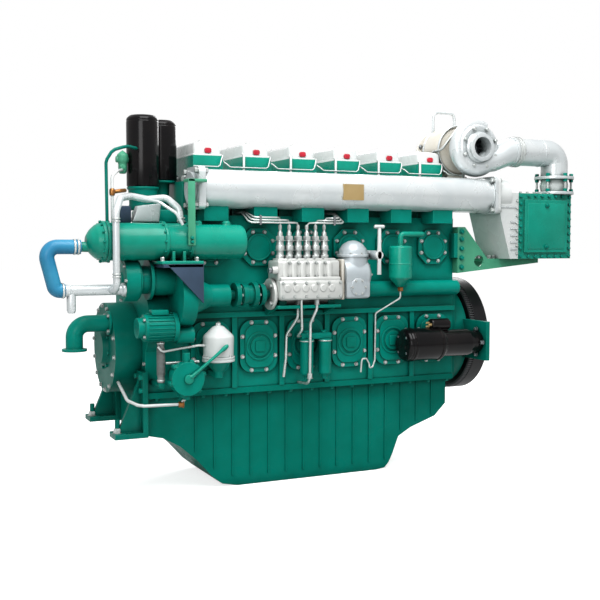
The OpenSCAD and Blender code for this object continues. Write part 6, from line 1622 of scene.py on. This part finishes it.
@dataclass
class Studio:
    """Camera, floor and lamps, placed in metres, and the levels of the light."""

    eye: Point = (-3.150, -4.635, 0.499)
    heading: float = 25.0
    dip: float = 3.28
    focal_px: float = 963.0
    image_px: float = 600.0
    ground: float = -0.690
    floor_glow: float = 0.72
    sky_in_gloss: float = 0.6
    sky_light: float = 0.4
    lamps: tuple = (("soft box", (-1.6, -2.2, 4.2), 3.4, 210.0), ("front fill", (-4.2, -4.6, 1.5), 2.2, 62.0),
                    ("rear rim", (1.6, 3.4, 2.6), 2.4, 90.0))
    aim: Point = (-1.0, 0, 0.3)

    def camera(self) -> None:
        """Set the camera where the photograph was taken from."""
        lens = bpy.data.cameras.new("camera")
        lens.sensor_width = 36.0
        lens.lens = self.focal_px / self.image_px * lens.sensor_width
        lens.clip_end = 100
        holder = linked("camera", lens)
        turn, dip = math.radians(self.heading), math.radians(self.dip)
        ahead = Vector((math.sin(turn) * math.cos(dip), math.cos(turn) * math.cos(dip), -math.sin(dip)))
        holder.location = self.eye
        holder.rotation_euler = ahead.to_track_quat("-Z", "Y").to_euler()
        bpy.context.scene.camera = holder

    def floor(self) -> None:
        """Lay a pale floor that stays white to the camera and keeps the engine's shadow."""
        mesh = bpy.data.meshes.new("floor")
        corners = [(x, y, self.ground) for x, y in ((-40, -40), (40, -40), (40, 40), (-40, 40))]
        mesh.from_pydata(corners, [], [(0, 1, 2, 3)])
        plane = linked("floor", mesh)
        paint = bpy.data.materials.new("matt white floor paint")
        paint.use_nodes = True
        tree = paint.node_tree
        tree.nodes.clear()
        rays = add(tree, "ShaderNodeLightPath").outputs
        seen = add(tree, "ShaderNodeMath", {0: rays["Is Camera Ray"], 1: rays["Is Glossy Ray"]}, operation="MAXIMUM")
        tone = add(tree, "ShaderNodeMix", {0: seen.outputs[0], 6: linear("8a8f8d"), 7: linear("f6f7f7")},
                   data_type="RGBA")
        matt = add(tree, "ShaderNodeBsdfDiffuse", {"Color": tone.outputs[2]})
        lift = add(tree, "ShaderNodeMath", {0: rays["Is Camera Ray"], 1: self.floor_glow}, operation="MULTIPLY")
        glow = add(tree, "ShaderNodeEmission", {"Color": (1, 1, 1, 1), "Strength": lift.outputs[0]})
        both = add(tree, "ShaderNodeAddShader", {0: matt.outputs[0], 1: glow.outputs[0]})
        add(tree, "ShaderNodeOutputMaterial", {"Surface": both.outputs[0]})
        mesh.materials.append(paint)

    def light(self) -> None:
        """Light the engine from a high soft box, a front fill, a rear rim and a plain sky."""
        world = bpy.data.worlds.new("sky")
        bpy.context.scene.world = world
        world.use_nodes = True
        tree = world.node_tree
        tree.nodes.clear()
        rays = add(tree, "ShaderNodeLightPath").outputs
        seen = add(tree, "ShaderNodeMath", {0: rays["Is Camera Ray"], 1: rays["Is Transmission Ray"]},
                   operation="MAXIMUM")
        shine = add(tree, "ShaderNodeMath", {0: rays["Is Glossy Ray"], 1: self.sky_in_gloss}, operation="MULTIPLY")
        level = add(tree, "ShaderNodeMath", {0: seen.outputs[0], 1: shine.outputs[0]}, operation="MAXIMUM")
        least = add(tree, "ShaderNodeMath", {0: level.outputs[0], 1: self.sky_light}, operation="MAXIMUM")
        sky = add(tree, "ShaderNodeBackground", {"Color": (1, 1, 1, 1), "Strength": least.outputs[0]})
        add(tree, "ShaderNodeOutputWorld", {"Surface": sky.outputs[0]})
        for name, place, size, watts in self.lamps:
            lamp = bpy.data.lights.new(name, "AREA")
            lamp.size, lamp.energy = size, watts
            holder = linked(name, lamp)
            holder.location = place
            holder.rotation_euler = (Vector(self.aim) - Vector(place)).to_track_quat("-Z", "Y").to_euler()
        bpy.context.scene.view_settings.view_transform = "Standard"


def dress_nodes() -> None:
    """Give every construction node that stays in view its finish."""
    for finish, nodes in NODE_FINISH.items():
        for node in nodes:
            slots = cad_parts[node].data.materials
            slots.clear()
            slots.append(finish.material())


def main() -> None:
    """Build every sub-assembly in order."""
    logging.basicConfig(level=logging.INFO, format="%(name)s %(message)s")
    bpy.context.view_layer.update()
    studio = Studio()
    studio.camera()
    studio.floor()
    studio.light()
    dress_nodes()
    case, heads, air, turbo = Crankcase(), HeadRow(), ChargeAir(), Turbocharger()
    cooler, pump, small, water = AirCooler(), InjectionPump(), Auxiliaries(), Cooling()
    front, rear = FrontEnd(), FlywheelEnd()
    for build in (case.fasteners, case.door_pads, case.far_wall, heads.covers, heads.tags, heads.nuts, heads.pipes,
                  air.joints, air.plate_screws, turbo.scroll, turbo.wheel, turbo.turbine, AirElbow().pipe,
                  cooler.fasteners, cooler.panels, cooler.louvres, cooler.bracket, pump.casing, pump.valves,
                  pump.governor, pump.lever, pump.pipes, pump.drive, small.fuel_filters, small.centrifuge, small.cup,
                  small.hand_pump, water.exchanger, water.hoop, water.teal_pipes, water.hose, water.sea_pump,
                  water.stay, front.fasteners, front.oil_filters, front.filter_side, front.prelube, rear.fasteners,
                  rear.starter, ExhaustSide().dress):
        build()


if __name__ == "__main__":
    main()
